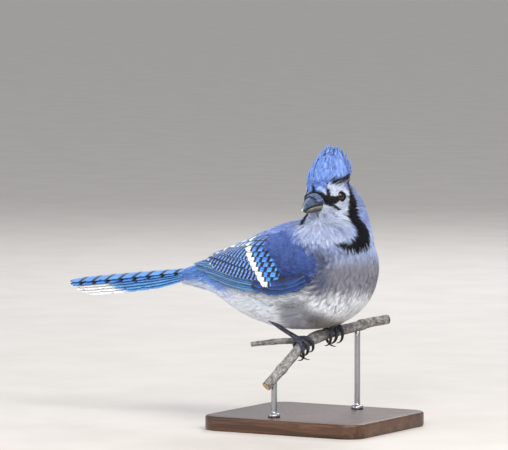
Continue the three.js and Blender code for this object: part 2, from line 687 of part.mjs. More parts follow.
// Groups: the whole model, the bird's own frame on its perch, and the turned head
const model = new THREE.Group();
const bird = new THREE.Group();
bird.position.z = PERCH_HEIGHT;
model.add(bird);
const head = new THREE.Group();
head.position.copy(HEAD_CENTRE);
head.rotation.z = radians(HEAD_YAW);
bird.add(head);
model.updateMatrixWorld(true);

// Adds a solid, given in the frame of `frame`, as a named mesh of `group`
function place(group, name, solid, material, frame = bird) {
  const mesh = solid.getMesh();
  const stride = mesh.numProp;
  const positions = new Float32Array(mesh.numVert * 3);
  for (let i = 0; i < mesh.numVert; i++) {
    positions.set(mesh.vertProperties.subarray(i * stride, i * stride + 3), i * 3);
  }
  const geometry = new THREE.BufferGeometry()
    .setAttribute("position", new THREE.BufferAttribute(positions, 3))
    .setIndex(new THREE.BufferAttribute(new Uint32Array(mesh.triVerts), 1));
  geometry.applyMatrix4(group.matrixWorld.clone().invert().multiply(frame.matrixWorld));
  const made = new THREE.Mesh(geometry, material);
  made.name = name;
  group.add(made);
}

// Every piece is cut clear of the ones that it lies on, so that they meet face to face
const perch = perchSolid();
const perchGrown = perchSolid(FACE_GAP);
const sides = Object.entries(GRIPS);
const legsGrown = sides.map(([, grip]) => legSleeve(grip));
const torso = without(bodySolid(TAIL_CUT_X, BODY_X[BODY_X.length - 1]), legsGrown);
const torsoGrown = bodySolid(TAIL_CUT_X - 6, BODY_X[BODY_X.length - 1], FACE_GAP);
const headGrown = headSolid(FACE_GAP);
const neckGrown = neckSolid(FACE_GAP);
const eyesGrown = [-1, 1].map((side) => ball(eyeCentre(side), EYE_RADIUS + FACE_GAP));

place(bird, "torso", largest(torso), FINISHES.breast);
place(bird, "neck", largest(without(neckSolid(), [torsoGrown, headGrown, ...eyesGrown])), FINISHES.face);
const rumpGrown = rumpSolid(FACE_GAP);
place(bird, "rump", largest(rumpSolid()), FINISHES.blue);
const tail = largest(without(tailSolid(), [rumpGrown, torsoGrown]));
place(bird, "tail", tail, FINISHES.blue);
for (const [name, side] of [["right", -1], ["left", 1]]) {
  const wing = without(wingSolid(side), [torsoGrown, neckGrown, rumpGrown]);
  place(bird, `wing_${name}`, largest(wing), FINISHES.blue);
}

const billsGrown = [upperBillSolid(FACE_GAP), lowerBillSolid(FACE_GAP)];
const crest = largest(without(crestSolid(), [headGrown, neckGrown]));
const lids = [-1, 1].map(lidSolid);
const plumes = spread(NASAL_PLUMES, -1, 1).map(nasalPlume);
const nostrils = [-1, 1].map(nostrilSolid);
const skull = without(headSolid(), [-1, 1].map(orbitSolid));
const cutsOfHead = [...eyesGrown, ...billsGrown, torsoGrown];
place(head, "head", largest(without(union([skull, ...lids, ...plumes]), cutsOfHead)), FINISHES.face);
place(head, "crest", crest, FINISHES.crest);
place(head, "bill_upper", largest(without(upperBillSolid(), nostrils)), FINISHES.horn);
place(head, "bill_lower", lowerBillSolid(), FINISHES.horn);
place(head, "eye_right", ball(eyeCentre(-1), EYE_RADIUS), FINISHES.eye);
place(head, "eye_left", ball(eyeCentre(1), EYE_RADIUS), FINISHES.eye);

for (const [name, grip] of sides) {
  const foot = footSolid(grip);
  const footGrown = footSolid(grip, FACE_GAP);
  place(bird, `foot_${name}`, largest(without(foot, [perchGrown])), FINISHES.scales);
  const leg = without(tarsusSolid(grip), [footGrown, perchGrown]);
  place(bird, `leg_${name}`, largest(leg), FINISHES.scales);
  for (const toe of TOES) {
    const claw = without(clawSolid(grip, toe), [footGrown, perchGrown]);
    place(bird, `claw_${name}_${toe.name}`, largest(claw), FINISHES.horn);
  }
}

place(bird, "perch", perch, FINISHES.bark);
place(model, "stand_base", baseSolid(), FINISHES.wood, model);
for (const [name, share] of Object.entries(RODS)) {
  const lifted = perchGrown.translate(0, 0, PERCH_HEIGHT);
  place(model, `stand_rod_${name}`, largest(rodSolid(share).subtract(lifted)), FINISHES.steel, model);
}

export default model;
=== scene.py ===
"""The looks of a life-size blue jay on a cut forked twig, held up by a plain display stand.

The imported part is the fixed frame, and every piece here is built where its nodes are. Unless a name says
otherwise, lengths are millimetres in the bird's own frame: +X is ahead of the body, +Y its left, and +Z up,
from the twig between its feet.
"""

import logging
import math
from dataclasses import dataclass, field
from enum import Enum
from functools import lru_cache
from typing import Callable, Sequence

import bmesh
import bpy
import numpy as np
from mathutils import Matrix, Vector, noise
from mathutils.bvhtree import BVHTree


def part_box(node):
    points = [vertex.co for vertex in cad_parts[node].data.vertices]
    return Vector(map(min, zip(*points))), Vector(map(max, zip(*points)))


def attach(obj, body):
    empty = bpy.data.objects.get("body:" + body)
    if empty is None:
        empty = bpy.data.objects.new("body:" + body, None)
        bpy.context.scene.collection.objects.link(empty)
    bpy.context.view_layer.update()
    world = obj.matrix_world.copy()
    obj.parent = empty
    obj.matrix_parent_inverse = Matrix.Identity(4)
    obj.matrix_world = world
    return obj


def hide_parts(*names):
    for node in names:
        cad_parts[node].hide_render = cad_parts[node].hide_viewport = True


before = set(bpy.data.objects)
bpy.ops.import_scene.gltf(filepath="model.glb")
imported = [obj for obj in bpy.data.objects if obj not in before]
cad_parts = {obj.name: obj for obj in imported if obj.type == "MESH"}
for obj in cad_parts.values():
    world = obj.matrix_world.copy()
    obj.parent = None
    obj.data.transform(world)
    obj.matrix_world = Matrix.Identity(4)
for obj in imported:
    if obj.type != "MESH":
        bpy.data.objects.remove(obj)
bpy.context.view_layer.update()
LOG = logging.getLogger("blue_jay")

MM = 0.001
PERCH_HEIGHT = 62.0
BIRD_ORIGIN = np.array([0.0, 0.0, PERCH_HEIGHT])
SEED = 20
BAKE_MAP = "OFBake"
BODY = "root"
SIDES = {"right": -1.0, "left": 1.0}

Array = np.ndarray


def to_metres(points: Array) -> Array:
    """Return points of the bird's frame in metres in the model's frame."""
    return (points + BIRD_ORIGIN) * MM


def unit(vectors: Array) -> Array:
    """Return the vectors at length 1."""
    return vectors / np.maximum(np.linalg.norm(vectors, axis=-1, keepdims=True), 1e-9)


def ease(low: float, high: float, value: Array) -> Array:
    """Return 0 below low, 1 above high, and a smooth step in between."""
    share = np.clip((value - low) / (high - low), 0.0, 1.0)
    return share * share * (3.0 - 2.0 * share)


def mixed(first: Array, second: Array, share: Array) -> Array:
    """Return the blend of two arrays of rows by a share for each row."""
    return first + (second - first) * np.asarray(share)[..., None]


def across(surface: Array, along: Array) -> Array:
    """Return the unit sideways direction of things that lie along a surface."""
    return unit(np.cross(surface, along))


def circle(count: int) -> Array:
    """Return angles evenly shared round a full turn."""
    return np.linspace(0, 2 * math.pi, count, endpoint=False)


def paint(code: str) -> Array:
    """Return a colour, given as six hexadecimal digits, as the renderer's linear values."""
    values = np.array([int(code[i : i + 2], 16) / 255 for i in (0, 2, 4)])
    return np.where(values <= 0.04045, values / 12.92, ((values + 0.055) / 1.055) ** 2.4)


def layered(base: str | Array, count: int, *layers: tuple[str | Array, Array]) -> Array:
    """Lay colours over each other.

    Args:
        base: The lowest colour, as digits or as one row for each point.
        count: How many points there are.
        layers: The colours over it, each with its share at each point.

    Returns:
        Linear colours, one in each row.
    """
    colour = np.tile(paint(base), (count, 1)) if isinstance(base, str) else base
    for over, share in layers:
        colour = mixed(colour, paint(over) if isinstance(over, str) else over, share)
    return colour


def curve_through(xs: Sequence[float], ys: Sequence[float]) -> Callable[[Array], Array]:
    """Make a smooth function through points that never overshoots them.

    Args:
        xs: The rising positions of the points.
        ys: Their values.

    Returns:
        The function of position.
    """
    x, y = np.array(xs, float), np.array(ys, float)
    slope = np.diff(y) / np.diff(x)
    before, after = np.r_[slope[0], slope], np.r_[slope, slope[-1]]
    product = before * after
    total = np.where(before + after == 0, 1, before + after)
    tangent = np.where(product > 0, 2 * product / total, 0.0)

    def value(at: Array) -> Array:
        """Return the curve's value at each position.

        Args:
            at: The positions.

        Returns:
            The values there.
        """
        at = np.clip(np.asarray(at, float), x[0], x[-1])
        i = np.clip(np.searchsorted(x, at, side="right") - 1, 0, len(x) - 2)
        h = x[i + 1] - x[i]
        t = (at - x[i]) / h
        rise = t * t * (3 - 2 * t)
        bend = tangent[i] * t * (1 - t) ** 2 - tangent[i + 1] * t * t * (1 - t)
        return y[i] + (y[i + 1] - y[i]) * rise + h * bend

    return value


def curves(xs: Sequence[float], *tables: Sequence[float]) -> tuple[Callable[[Array], Array], ...]:
    """Return a smooth function through each table of values at the same positions."""
    return tuple(curve_through(xs, table) for table in tables)


def path_points(points: Sequence[Sequence[float]], count: int) -> Array:
    """Return evenly shared points of a smooth curve through the given ones.

    Args:
        points: The points that the curve goes through.
        count: How many points are wanted.

    Returns:
        The points, one in each row.
    """
    given = np.array(points, float)
    at = np.r_[0, np.cumsum(np.linalg.norm(np.diff(given, axis=0), axis=1))]
    wanted = np.linspace(0, at[-1], count)
    slopes = np.gradient(given, at, axis=0)
    i = np.clip(np.searchsorted(at, wanted, side="right") - 1, 0, len(at) - 2)
    h = (at[i + 1] - at[i])[:, None]
    t = ((wanted - at[i])[:, None]) / h
    out = given[i] * (1 + 2 * t) * (1 - t) ** 2 + given[i + 1] * t * t * (3 - 2 * t)
    return out + h * (slopes[i] * t * (1 - t) ** 2 - slopes[i + 1] * t * t * (1 - t))


def distance_to_path(points: Array, corners: Array) -> tuple[Array, Array]:
    """Measure how far points are from a chain of straight lines.

    Args:
        points: The points, one in each row.
        corners: The chain's corners.

    Returns:
        Each point's distance, and the share of the way along where it is nearest.
    """
    best = np.full(len(points), 1e9)
    share = np.zeros(len(points))
    for k in range(len(corners) - 1):
        start, line = corners[k], corners[k + 1] - corners[k]
        t = np.clip(((points - start) @ line) / (line @ line), 0, 1)
        away = np.linalg.norm(points - start - t[..., None] * line, axis=-1)
        nearer = away < best
        best = np.where(nearer, away, best)
        share = np.where(nearer, (k + t) / (len(corners) - 1), share)
    return best, share


def grain(points: Array, size: float, seed: float) -> Array:
    """Return smooth random values from -1 to 1 at points, with lumps of about a size in mm."""
    flat = points / size + seed * 17.3
    return np.clip(np.array([noise.noise(Vector(p)) for p in flat.tolist()]) * 1.6, -1, 1)


def ripple(points: Array, size: float, seed: int) -> Array:
    """Return cheap smooth variation from -1 to 1, the sum of a few slanted waves.

    Args:
        points: The points, one in each row.
        size: About how long the waves are, in mm.
        seed: Which waves they are.

    Returns:
        A value for each point.
    """
    rng = np.random.default_rng(SEED + seed)
    total = np.zeros(len(points))
    for _ in range(6):
        wave = rng.normal(size=3)
        wave *= 2 * math.pi / size * rng.uniform(0.7, 1.4) / np.linalg.norm(wave)
        total += np.sin(points @ wave + rng.uniform(0, 6.3))
    return total / 3.2


def linked(name: str, data: bpy.types.ID) -> bpy.types.Object:
    """Return a new object of the scene."""
    made = bpy.data.objects.new(name, data)
    bpy.context.scene.collection.objects.link(made)
    return made


def plain_mesh(piece: bpy.types.Object) -> bpy.types.Mesh:
    """Return an object's mesh with its modifiers applied, and remove the object.

    Args:
        piece: The object.

    Returns:
        The mesh.
    """
    evaluated = piece.evaluated_get(bpy.context.evaluated_depsgraph_get())
    mesh = bpy.data.meshes.new_from_object(evaluated)
    piece.modifiers.clear()
    bpy.data.objects.remove(piece, do_unlink=True)
    return mesh


def dressed(piece: bpy.types.Object, slot: str, *nodes: str) -> None:
    """Let a finished piece ride on the body in place of CAD nodes, and report it.

    Args:
        piece: The piece.
        slot: Its slot, which is not used.
        nodes: The CAD nodes that it stands for, if any.
    """
    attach(piece, BODY)
    if nodes:
        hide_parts(*nodes)
    LOG.info("%s: %d faces", piece.name, len(piece.data.polygons))


@dataclass
class Shape:
    """A mesh in the making: its points in the bird's frame, its faces, and what is painted on them."""

    points: Array
    faces: list[Array]
    colours: Array | None = None
    maps: dict[str, Array] = field(default_factory=dict)
    values: dict[str, Array] = field(default_factory=dict)

    def volume(self) -> float:
        """Return the signed volume, which is negative when the faces point inwards."""
        total = 0.0
        for faces in self.faces:
            a = self.points[faces[:, 0]]
            for k in range(1, faces.shape[1] - 1):
                b, c = self.points[faces[:, k]], self.points[faces[:, k + 1]]
                total += float(np.einsum("ij,ij->", a, np.cross(b, c))) / 6
        return total

    def outwards(self) -> "Shape":
        """Turn the faces so that they point outwards."""
        if self.volume() < 0:
            self.faces = [f[:, ::-1] for f in self.faces]
        return self

    def layer(self, mesh: bpy.types.Mesh, title: str, kind: str, key: str, values: Array) -> None:
        """Store a value for each point on a mesh."""
        made = mesh.attributes.new(name=title, type=kind, domain="POINT")
        made.data.foreach_set(key, values.astype(np.float32).ravel())

    def made(self, name: str, material: bpy.types.Material) -> bpy.types.Object:
        """Make the Blender object.

        Args:
            name: The piece's name.
            material: Its finish.

        Returns:
            The new object, shaded smooth.
        """
        mesh = bpy.data.meshes.new(name)
        corners = np.concatenate([f.ravel() for f in self.faces])
        sizes = np.concatenate([np.full(len(f), f.shape[1]) for f in self.faces])
        mesh.vertices.add(len(self.points))
        mesh.vertices.foreach_set("co", to_metres(self.points).astype(np.float32).ravel())
        mesh.loops.add(len(corners))
        mesh.loops.foreach_set("vertex_index", corners.astype(np.int32))
        mesh.polygons.add(len(sizes))
        mesh.polygons.foreach_set("loop_start", np.r_[0, np.cumsum(sizes)[:-1]].astype(np.int32))
        mesh.update(calc_edges=True)
        if self.colours is not None:
            self.layer(
                mesh, "plumage", "FLOAT_COLOR", "color", np.c_[self.colours, np.ones(len(self.colours))]
            )
        for title, values in self.values.items():
            self.layer(mesh, title, "FLOAT", "value", values)
        for title, coordinates in self.maps.items():
            made = mesh.uv_layers.new(name=title)
            made.data.foreach_set("uv", coordinates[corners].astype(np.float32).ravel())
        mesh.shade_smooth()
        mesh.materials.append(material)
        return linked(name, mesh)


def joined(shapes: Sequence[Shape]) -> Shape:
    """Return several shapes with the same layers as one.

    Args:
        shapes: The shapes.

    Returns:
        The one shape.
    """
    starts = np.r_[0, np.cumsum([len(s.points) for s in shapes])]
    faces: dict[int, list[Array]] = {}
    for shape, start in zip(shapes, starts):
        for block in shape.faces:
            faces.setdefault(block.shape[1], []).append(block + start)
    coloured = shapes[0].colours is not None
    return Shape(
        points=np.concatenate([s.points for s in shapes]),
        faces=[np.concatenate(blocks) for blocks in faces.values()],
        colours=np.concatenate([s.colours for s in shapes]) if coloured else None,
        maps={k: np.concatenate([s.maps[k] for s in shapes]) for k in shapes[0].maps},
        values={k: np.concatenate([s.values[k] for s in shapes]) for k in shapes[0].values},
    )


def cells(index: Array, swapped: bool = False) -> Array:
    """Return the four-cornered faces between the rows and columns of a grid of point numbers."""
    a, b, c, d = index[:-1, :-1], index[:-1, 1:], index[1:, 1:], index[1:, :-1]
    return np.stack((a, d, c, b) if swapped else (a, b, c, d), axis=-1).reshape(-1, 4)


def loft(rings: Array) -> Shape:
    """Return a closed body over rings of points, with a point in the middle of each end.

    Args:
        rings: The rings, as an array of ring, point and coordinate.

    Returns:
        The shape, with its faces pointing outwards.
    """
    count, sides, _ = rings.shape
    index = np.arange(count * sides).reshape(count, sides)
    turned = np.roll(index, -1, axis=1)
    quads = np.stack([index[:-1], turned[:-1], turned[1:], index[1:]], axis=-1).reshape(-1, 4)
    points = np.concatenate([rings.reshape(-1, 3), rings[[0, -1]].mean(axis=1)])
    first, last = count * sides, count * sides + 1
    start = np.stack([np.full(sides, first), turned[0], index[0]], axis=-1)
    end = np.stack([np.full(sides, last), index[-1], turned[-1]], axis=-1)
    return Shape(points, [quads, np.concatenate([start, end])]).outwards()


def in_triangles(shape: Shape) -> Shape:
    """Return a lofted body with each four-cornered face split in two."""
    quads, caps = shape.faces
    return Shape(shape.points, [np.concatenate([quads[:, [0, 1, 2]], quads[:, [0, 2, 3]], caps])])


def tube(path: Array, radii: Array, sides: int) -> Shape:
    """Return a round closed tube along a path.

    Args:
        path: The points of its middle line.
        radii: Its radius at each of them.
        sides: How many sides it has.

    Returns:
        The shape, with its faces pointing outwards.
    """
    along = unit(np.gradient(path, axis=0))
    side = np.empty_like(path)
    side[0] = unit(np.cross(along[0], [0.31, 0.17, 0.94]))
    for k in range(1, len(path)):
        side[k] = unit(side[k - 1] - along[k] * (side[k - 1] @ along[k]))
    other = np.cross(along, side)
    turn = circle(sides)
    ring = side[:, None] * np.cos(turn)[:, None] + other[:, None] * np.sin(turn)[:, None]
    return loft(path[:, None] + ring * radii[:, None, None])


def cad_copy(*nodes: str) -> bpy.types.Object:
    """Join copies of CAD nodes in one new object, with their doubled points merged.

    Args:
        nodes: The nodes' names.

    Returns:
        The new object.
    """
    made = bmesh.new()
    for name in nodes:
        made.from_mesh(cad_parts[name].data)
    bmesh.ops.remove_doubles(made, verts=made.verts, dist=1e-6)
    mesh = bpy.data.meshes.new("copy")
    made.to_mesh(mesh)
    made.free()
    return linked("copy", mesh)


def remeshed(piece: bpy.types.Object, voxel: float, rounds: int) -> Shape:
    """Fuse an object's closed parts in one even skin, smooth it, and remove the object.

    Args:
        piece: The object, whose parts may overlap.
        voxel: The skin's mesh size in mm.
        rounds: How many times the skin is smoothed.

    Returns:
        The skin.
    """
    fuse = piece.modifiers.new("fuse", "REMESH")
    fuse.mode = "VOXEL"
    fuse.voxel_size = voxel * MM
    fuse.adaptivity = 0.0
    soften = piece.modifiers.new("soften", "SMOOTH")
    soften.iterations = rounds
    mesh = plain_mesh(piece)
    points = np.empty(len(mesh.vertices) * 3)
    mesh.vertices.foreach_get("co", points)
    mesh.calc_loop_triangles()
    faces = np.empty(len(mesh.loop_triangles) * 3, dtype=np.int64)
    mesh.loop_triangles.foreach_get("vertices", faces)
    bpy.data.meshes.remove(mesh)
    return Shape(points.reshape(-1, 3) / MM - BIRD_ORIGIN, [faces.reshape(-1, 3)]).outwards()


def fused(shapes: Sequence[Shape], voxel: float, rounds: int) -> Shape:
    """Fuse closed shapes in one even, smoothed skin."""
    return remeshed(joined(shapes).made("copy", bpy.data.materials.new("copy")), voxel, rounds)


def point_normals(shape: Shape) -> Array:
    """Return the outward direction at each point of a triangle mesh.

    Args:
        shape: The mesh.

    Returns:
        Unit directions, one in each row.
    """
    faces = shape.faces[0]
    a, b, c = (shape.points[faces[:, k]] for k in range(3))
    normals = np.zeros_like(shape.points)
    for k in range(3):
        np.add.at(normals, faces[:, k], np.cross(b - a, c - a))
    return unit(normals)


class Ground:
    """A triangle mesh that feathers and markings are laid on."""

    def __init__(self, shape: Shape) -> None:
        """Index the mesh, which is all triangles."""
        self.shape, self.faces = shape, shape.faces[0]
        self.normals = point_normals(shape)
        self.tree = BVHTree.FromPolygons(shape.points.tolist(), self.faces.tolist())

    def scatter(self, count: int, rng: np.random.Generator) -> tuple[Array, Array]:
        """Pick random points, spread by area.

        Args:
            count: How many.
            rng: The source of chance.

        Returns:
            The points and the surface's directions there.
        """
        a, b, c = (self.shape.points[self.faces[:, k]] for k in range(3))
        area = np.linalg.norm(np.cross(b - a, c - a), axis=1)
        chosen = rng.choice(len(area), size=count, p=area / area.sum())
        u, v = rng.random(count), rng.random(count)
        over = u + v > 1
        u[over], v[over] = 1 - u[over], 1 - v[over]
        weights = np.stack([1 - u - v, u, v], axis=1)
        corners = self.faces[chosen]
        points = np.einsum("ij,ijk->ik", weights, self.shape.points[corners])
        return points, unit(np.einsum("ij,ijk->ik", weights, self.normals[corners]))

    def nearest(self, points: Array) -> tuple[Array, Array]:
        """Return the nearest points of the surface, and its directions there."""
        found = [self.tree.find_nearest(Vector(p)) for p in points.tolist()]
        return np.array([f[0] for f in found]), np.array([f[1] for f in found])


def thinned(points: Array, spacing: Array) -> Array:
    """Choose points that keep their own spacing from those chosen before them.

    Args:
        points: The candidates, in the order in which they are tried.
        spacing: The least distance for each.

    Returns:
        The numbers of those that are kept.
    """
    kept: list[int] = []
    grid: dict[tuple[int, int, int], list[int]] = {}
    places = np.floor(points / float(spacing.max())).astype(int).tolist()
    rows, limits = points.tolist(), (spacing**2).tolist()
    steps = [(i, j, k) for i in (-1, 0, 1) for j in (-1, 0, 1) for k in (-1, 0, 1)]
    for n, ((x, y, z), (i, j, k)) in enumerate(zip(rows, places)):
        near = (rows[m] for s in steps for m in grid.get((i + s[0], j + s[1], k + s[2]), ()))
        if all((x - p) ** 2 + (y - q) ** 2 + (z - r) ** 2 > limits[n] for p, q, r in near):
            kept.append(n)
            grid.setdefault((i, j, k), []).append(n)
    return np.array(kept, dtype=int)


class Wire:
    """An output of a shader node that can be used in Python expressions."""

    def __init__(self, sheet: "NodeSheet", socket: bpy.types.NodeSocket) -> None:
        """Wrap a socket."""
        self.sheet, self.socket = sheet, socket

    def maths(self, operation: str, *values: "Wire | float") -> "Wire":
        """Return the result of a Math node on some values."""
        return self.sheet.node("ShaderNodeMath", {"operation": operation}, dict(enumerate(values)))

    def __add__(self, other: "Wire | float") -> "Wire":
        """Return the sum."""
        return self.maths("ADD", self, other)

    __radd__ = __add__

    def __sub__(self, other: "Wire | float") -> "Wire":
        """Return the difference."""
        return self.maths("SUBTRACT", self, other)

    def __rsub__(self, other: float) -> "Wire":
        """Return the difference from a number."""
        return self.maths("SUBTRACT", other, self)

    def __mul__(self, other: "Wire | float") -> "Wire":
        """Return the product."""
        return self.maths("MULTIPLY", self, other)

    __rmul__ = __mul__

    def __truediv__(self, other: "Wire | float") -> "Wire":
        """Return the quotient."""
        return self.maths("DIVIDE", self, other)

    def size(self) -> "Wire":
        """Return the value without its sign."""
        return self.maths("ABSOLUTE", self)

    def repeat(self) -> "Wire":
        """Return the value's part after the point."""
        return self.maths("FRACT", self)

    def rise(self, low: float, high: float) -> "Wire":
        """Return 0 at low, 1 at high, and a smooth step in between."""
        sockets = {"Value": self, "From Min": low, "From Max": high, "To Min": 0.0, "To Max": 1.0}
        return self.sheet.node("ShaderNodeMapRange", {"interpolation_type": "SMOOTHSTEP"}, sockets)

    def lit(self, light: "Wire") -> "Wire":
        """Return a colour made lighter or darker by a factor."""
        return self.sheet.node("ShaderNodeVectorMath", {"operation": "SCALE"}, {0: self, "Scale": light})


class NodeSheet:
    """The node tree of one material, with a principled shader at its end."""

    def __init__(self, name: str, **constants: float) -> None:
        """Start a material.

        Args:
            name: The material's name.
            constants: Values for the shader's own sockets, with _ for the spaces in their names.
        """
        self.material = bpy.data.materials.new(name)
        self.material.use_nodes = True
        self.tree = self.material.node_tree
        self.shader = self.tree.nodes["Principled BSDF"]
        for title, value in constants.items():
            self.shader.inputs[title.replace("_", " ")].default_value = value

    def node(self, kind: str, settings: dict, sockets: dict, output: int | str = 0) -> Wire:
        """Add any node.

        Args:
            kind: The node's type.
            settings: Its own settings.
            sockets: Values, colours' digits or wires for its inputs, by number or name.
            output: The output that is wanted.

        Returns:
            The wire from that output.
        """
        made = self.tree.nodes.new(kind)
        for title, value in settings.items():
            setattr(made, title, value)
        for key, value in sockets.items():
            self.feed(made.inputs[key], value)
        return Wire(self, made.outputs[output])

    def feed(self, socket: bpy.types.NodeSocket, value: "Wire | str | float | tuple") -> None:
        """Link a wire to an input, or set its value."""
        if isinstance(value, Wire):
            self.tree.links.new(value.socket, socket)
        else:
            socket.default_value = (*paint(value).tolist(), 1.0) if isinstance(value, str) else value

    def places(self, stretch: tuple[float, float, float] = (1, 1, 1)) -> Wire:
        """Return the object coordinates in millimetres, stretched along the axes."""
        at = self.node("ShaderNodeTexCoord", {}, {}, "Object")
        scale = tuple(s / MM for s in stretch)
        return self.node("ShaderNodeVectorMath", {"operation": "MULTIPLY"}, {0: at, 1: scale})

    def vector(self, **parts: "Wire | float") -> Wire:
        """Return a vector made of its X, Y and Z."""
        return self.node("ShaderNodeCombineXYZ", {}, parts)

    def noise(self, at: Wire, size: float, detail: float = 3.0, rough: float = 0.55) -> Wire:
        """Return noise from 0 to 1 with lumps of a size."""
        sockets = {"Vector": at, "Scale": 1 / size, "Detail": detail, "Roughness": rough}
        return self.node("ShaderNodeTexNoise", {}, sockets)

    def cracks(self, at: Wire, scale: float) -> Wire:
        """Return the distance from the edges of random cells."""
        return self.node(
            "ShaderNodeTexVoronoi", {"feature": "DISTANCE_TO_EDGE"}, {"Vector": at, "Scale": scale}
        )

    def blend(self, share: Wire, first: "Wire | str", second: "Wire | str") -> Wire:
        """Return the blend of two colours."""
        settings = {"data_type": "RGBA", "blend_type": "MIX", "clamp_factor": True}
        return self.node("ShaderNodeMix", settings, {0: share, 6: first, 7: second}, 2)

    def over(self, colour: Wire, *layers: "tuple[Wire, str]") -> Wire:
        """Return a colour with others laid over it, each by its share."""
        for share, code in layers:
            colour = self.blend(share, colour, code)
        return colour

    def attribute(self, name: str, output: str = "Fac") -> Wire:
        """Return a layer painted on the mesh."""
        return self.node("ShaderNodeAttribute", {"attribute_name": name}, {}, output)

    def map(self, name: str) -> tuple[Wire, Wire]:
        """Return the two coordinates of a UV map."""
        split = self.node(
            "ShaderNodeSeparateXYZ", {}, {0: self.node("ShaderNodeUVMap", {"uv_map": name}, {})}
        )
        return split, Wire(self, split.socket.node.outputs[1])

    def finished(self, colour: Wire, roughness: Wire | None, height: Wire | None = None,
                 depth: float = 0.0) -> bpy.types.Material:
        """Drive the shader and return the material.

        Args:
            colour: Its colour.
            roughness: Its roughness, or nothing where that is a constant.
            height: The height of its surface, from 0 to 1.
            depth: What a height of 1 stands for, in mm.

        Returns:
            The material.
        """
        self.feed(self.shader.inputs["Base Color"], colour)
        if roughness:
            self.feed(self.shader.inputs["Roughness"], roughness)
        if height:
            bump = self.node("ShaderNodeBump", {}, {"Height": height, "Distance": depth * MM})
            self.feed(self.shader.inputs["Normal"], bump)
        return self.material


@dataclass(frozen=True)
class PlumageFinish:
    """Soft feathers, in the colours that are painted on their mesh."""

    name: str
    roughness: float = 0.62
    streak: float = 0.16

    def made(self) -> bpy.types.Material:
        """Make the material."""
        sheet = NodeSheet(self.name, Sheen_Weight=0.08, Specular_IOR_Level=0.15, Sheen_Roughness=0.5)
        colour, at = sheet.attribute("plumage", "Color"), sheet.places()
        fine, broad = sheet.noise(at, 0.5), sheet.noise(at, 5.0, 2.0)
        light = (fine - 0.5) * (2 * self.streak) + (broad - 0.5) * 0.14 + 1.0
        return sheet.finished(colour.lit(light), self.roughness + (fine - 0.5) * 0.2)


@dataclass(frozen=True)
class VaneFinish:
    """A firm feather's web: cross bars, a lighter edge and a pale tip, laid out in mm from the tip."""

    name: str
    web: str
    deep: str
    edge: str
    bar_step: float = 0.0
    bar_share: float = 0.3
    bar_slant: float = 0.8
    white: float = 0.0
    white_soft: float = 0.6
    dark_inside: float = 0.0
    before_white: float = 0.0
    # Painted shadow: a dark line along the web's outer edge, where the next feather overlaps it
    rim: float = 0.0
    # Painted shadow: dark lines along the web at this spacing, for the edges of stacked feathers
    lines: float = 0.0
    ink: str = "0b0e16"
    tip: str = "f3f5f4"
    roughness: float = 0.42

    def made(self) -> bpy.types.Material:
        """Make the material, which reads the web's side and length maps."""
        sheet = NodeSheet(self.name, Specular_IOR_Level=0.35, Sheen_Weight=0.12)
        side, back = sheet.map("Web")
        half, _ = sheet.map("Size")
        at = sheet.places()
        run = {"Vector": sheet.vector(X=back + side.size() * 0.9), "Scale": 0.55, "Distortion": 0.6}
        barbs = sheet.node("ShaderNodeTexWave", {"wave_type": "BANDS", "bands_direction": "X"}, run)
        jitter = sheet.noise(at, 1.4, 2.0) - 0.5
        cloud = (sheet.noise(at, 7.0, 2.0) + jitter * 0.6).rise(0.3, 0.75)
        colour = sheet.blend(cloud, self.deep, self.web)
        colour = sheet.blend((side / half).rise(0.45, 0.95) * 0.8, colour, self.edge)
        marks = [
            (share, self.tip if pale else self.ink)
            for share, pale in self.marks(sheet, side, back, half, jitter)
        ]
        light = 0.86 + barbs * 0.22 + jitter * 0.16
        return sheet.finished(
            sheet.over(colour, *marks).lit(light), self.roughness + jitter * 0.12, barbs, 0.05
        )

    def marks(
        self, sheet: NodeSheet, side: Wire, back: Wire, half: Wire, jitter: Wire
    ) -> list[tuple[Wire, bool]]:
        """Lay out the web's markings.

        Args:
            sheet: The material's nodes.
            side: The signed distance from the quill.
            back: The distance back from the tip.
            half: The web's half width.
            jitter: A fine unevenness.

        Returns:
            Each marking's share, and whether it is pale, from the lowest to the highest.
        """
        out = []
        if self.dark_inside:
            out.append(((0.0 - side / half).rise(-0.15, 0.2) * self.dark_inside, False))
        if self.bar_step:
            slanted = back + side.size() * self.bar_slant + jitter * 0.5
            phase = slanted / self.bar_step + sheet.attribute("shift")
            start = 1 - self.bar_share
            out.append((((phase.repeat() - 0.5).size() * 2.0).rise(start - 0.12, start + 0.12), False))
        # Painted shadow of stacked feather edges, in lines along the web
        if self.lines:
            line = (((side + jitter * 0.3) / self.lines).repeat() - 0.5).size() * 2.0
            out.append((line.rise(0.62, 0.82) * 0.85, False))
        # Painted shadow along the web's outer edge, under the overlapping feather
        if self.rim:
            out.append(((side / half).rise(0.9, 0.96) * self.rim, False))
        if self.before_white:
            end = self.white + self.before_white
            band = (back + jitter).rise(self.white - 0.2, self.white + 0.4)
            out.append((band * (1 - (back + jitter).rise(end - 0.5, end + 0.4)), False))
        if self.white:
            edge = (back + jitter * 1.2).rise(self.white - self.white_soft, self.white + self.white_soft)
            out.append((1 - edge, True))
        out.append(((1 - side.size().rise(0.12, 0.34)) * 0.75, False))
        return out


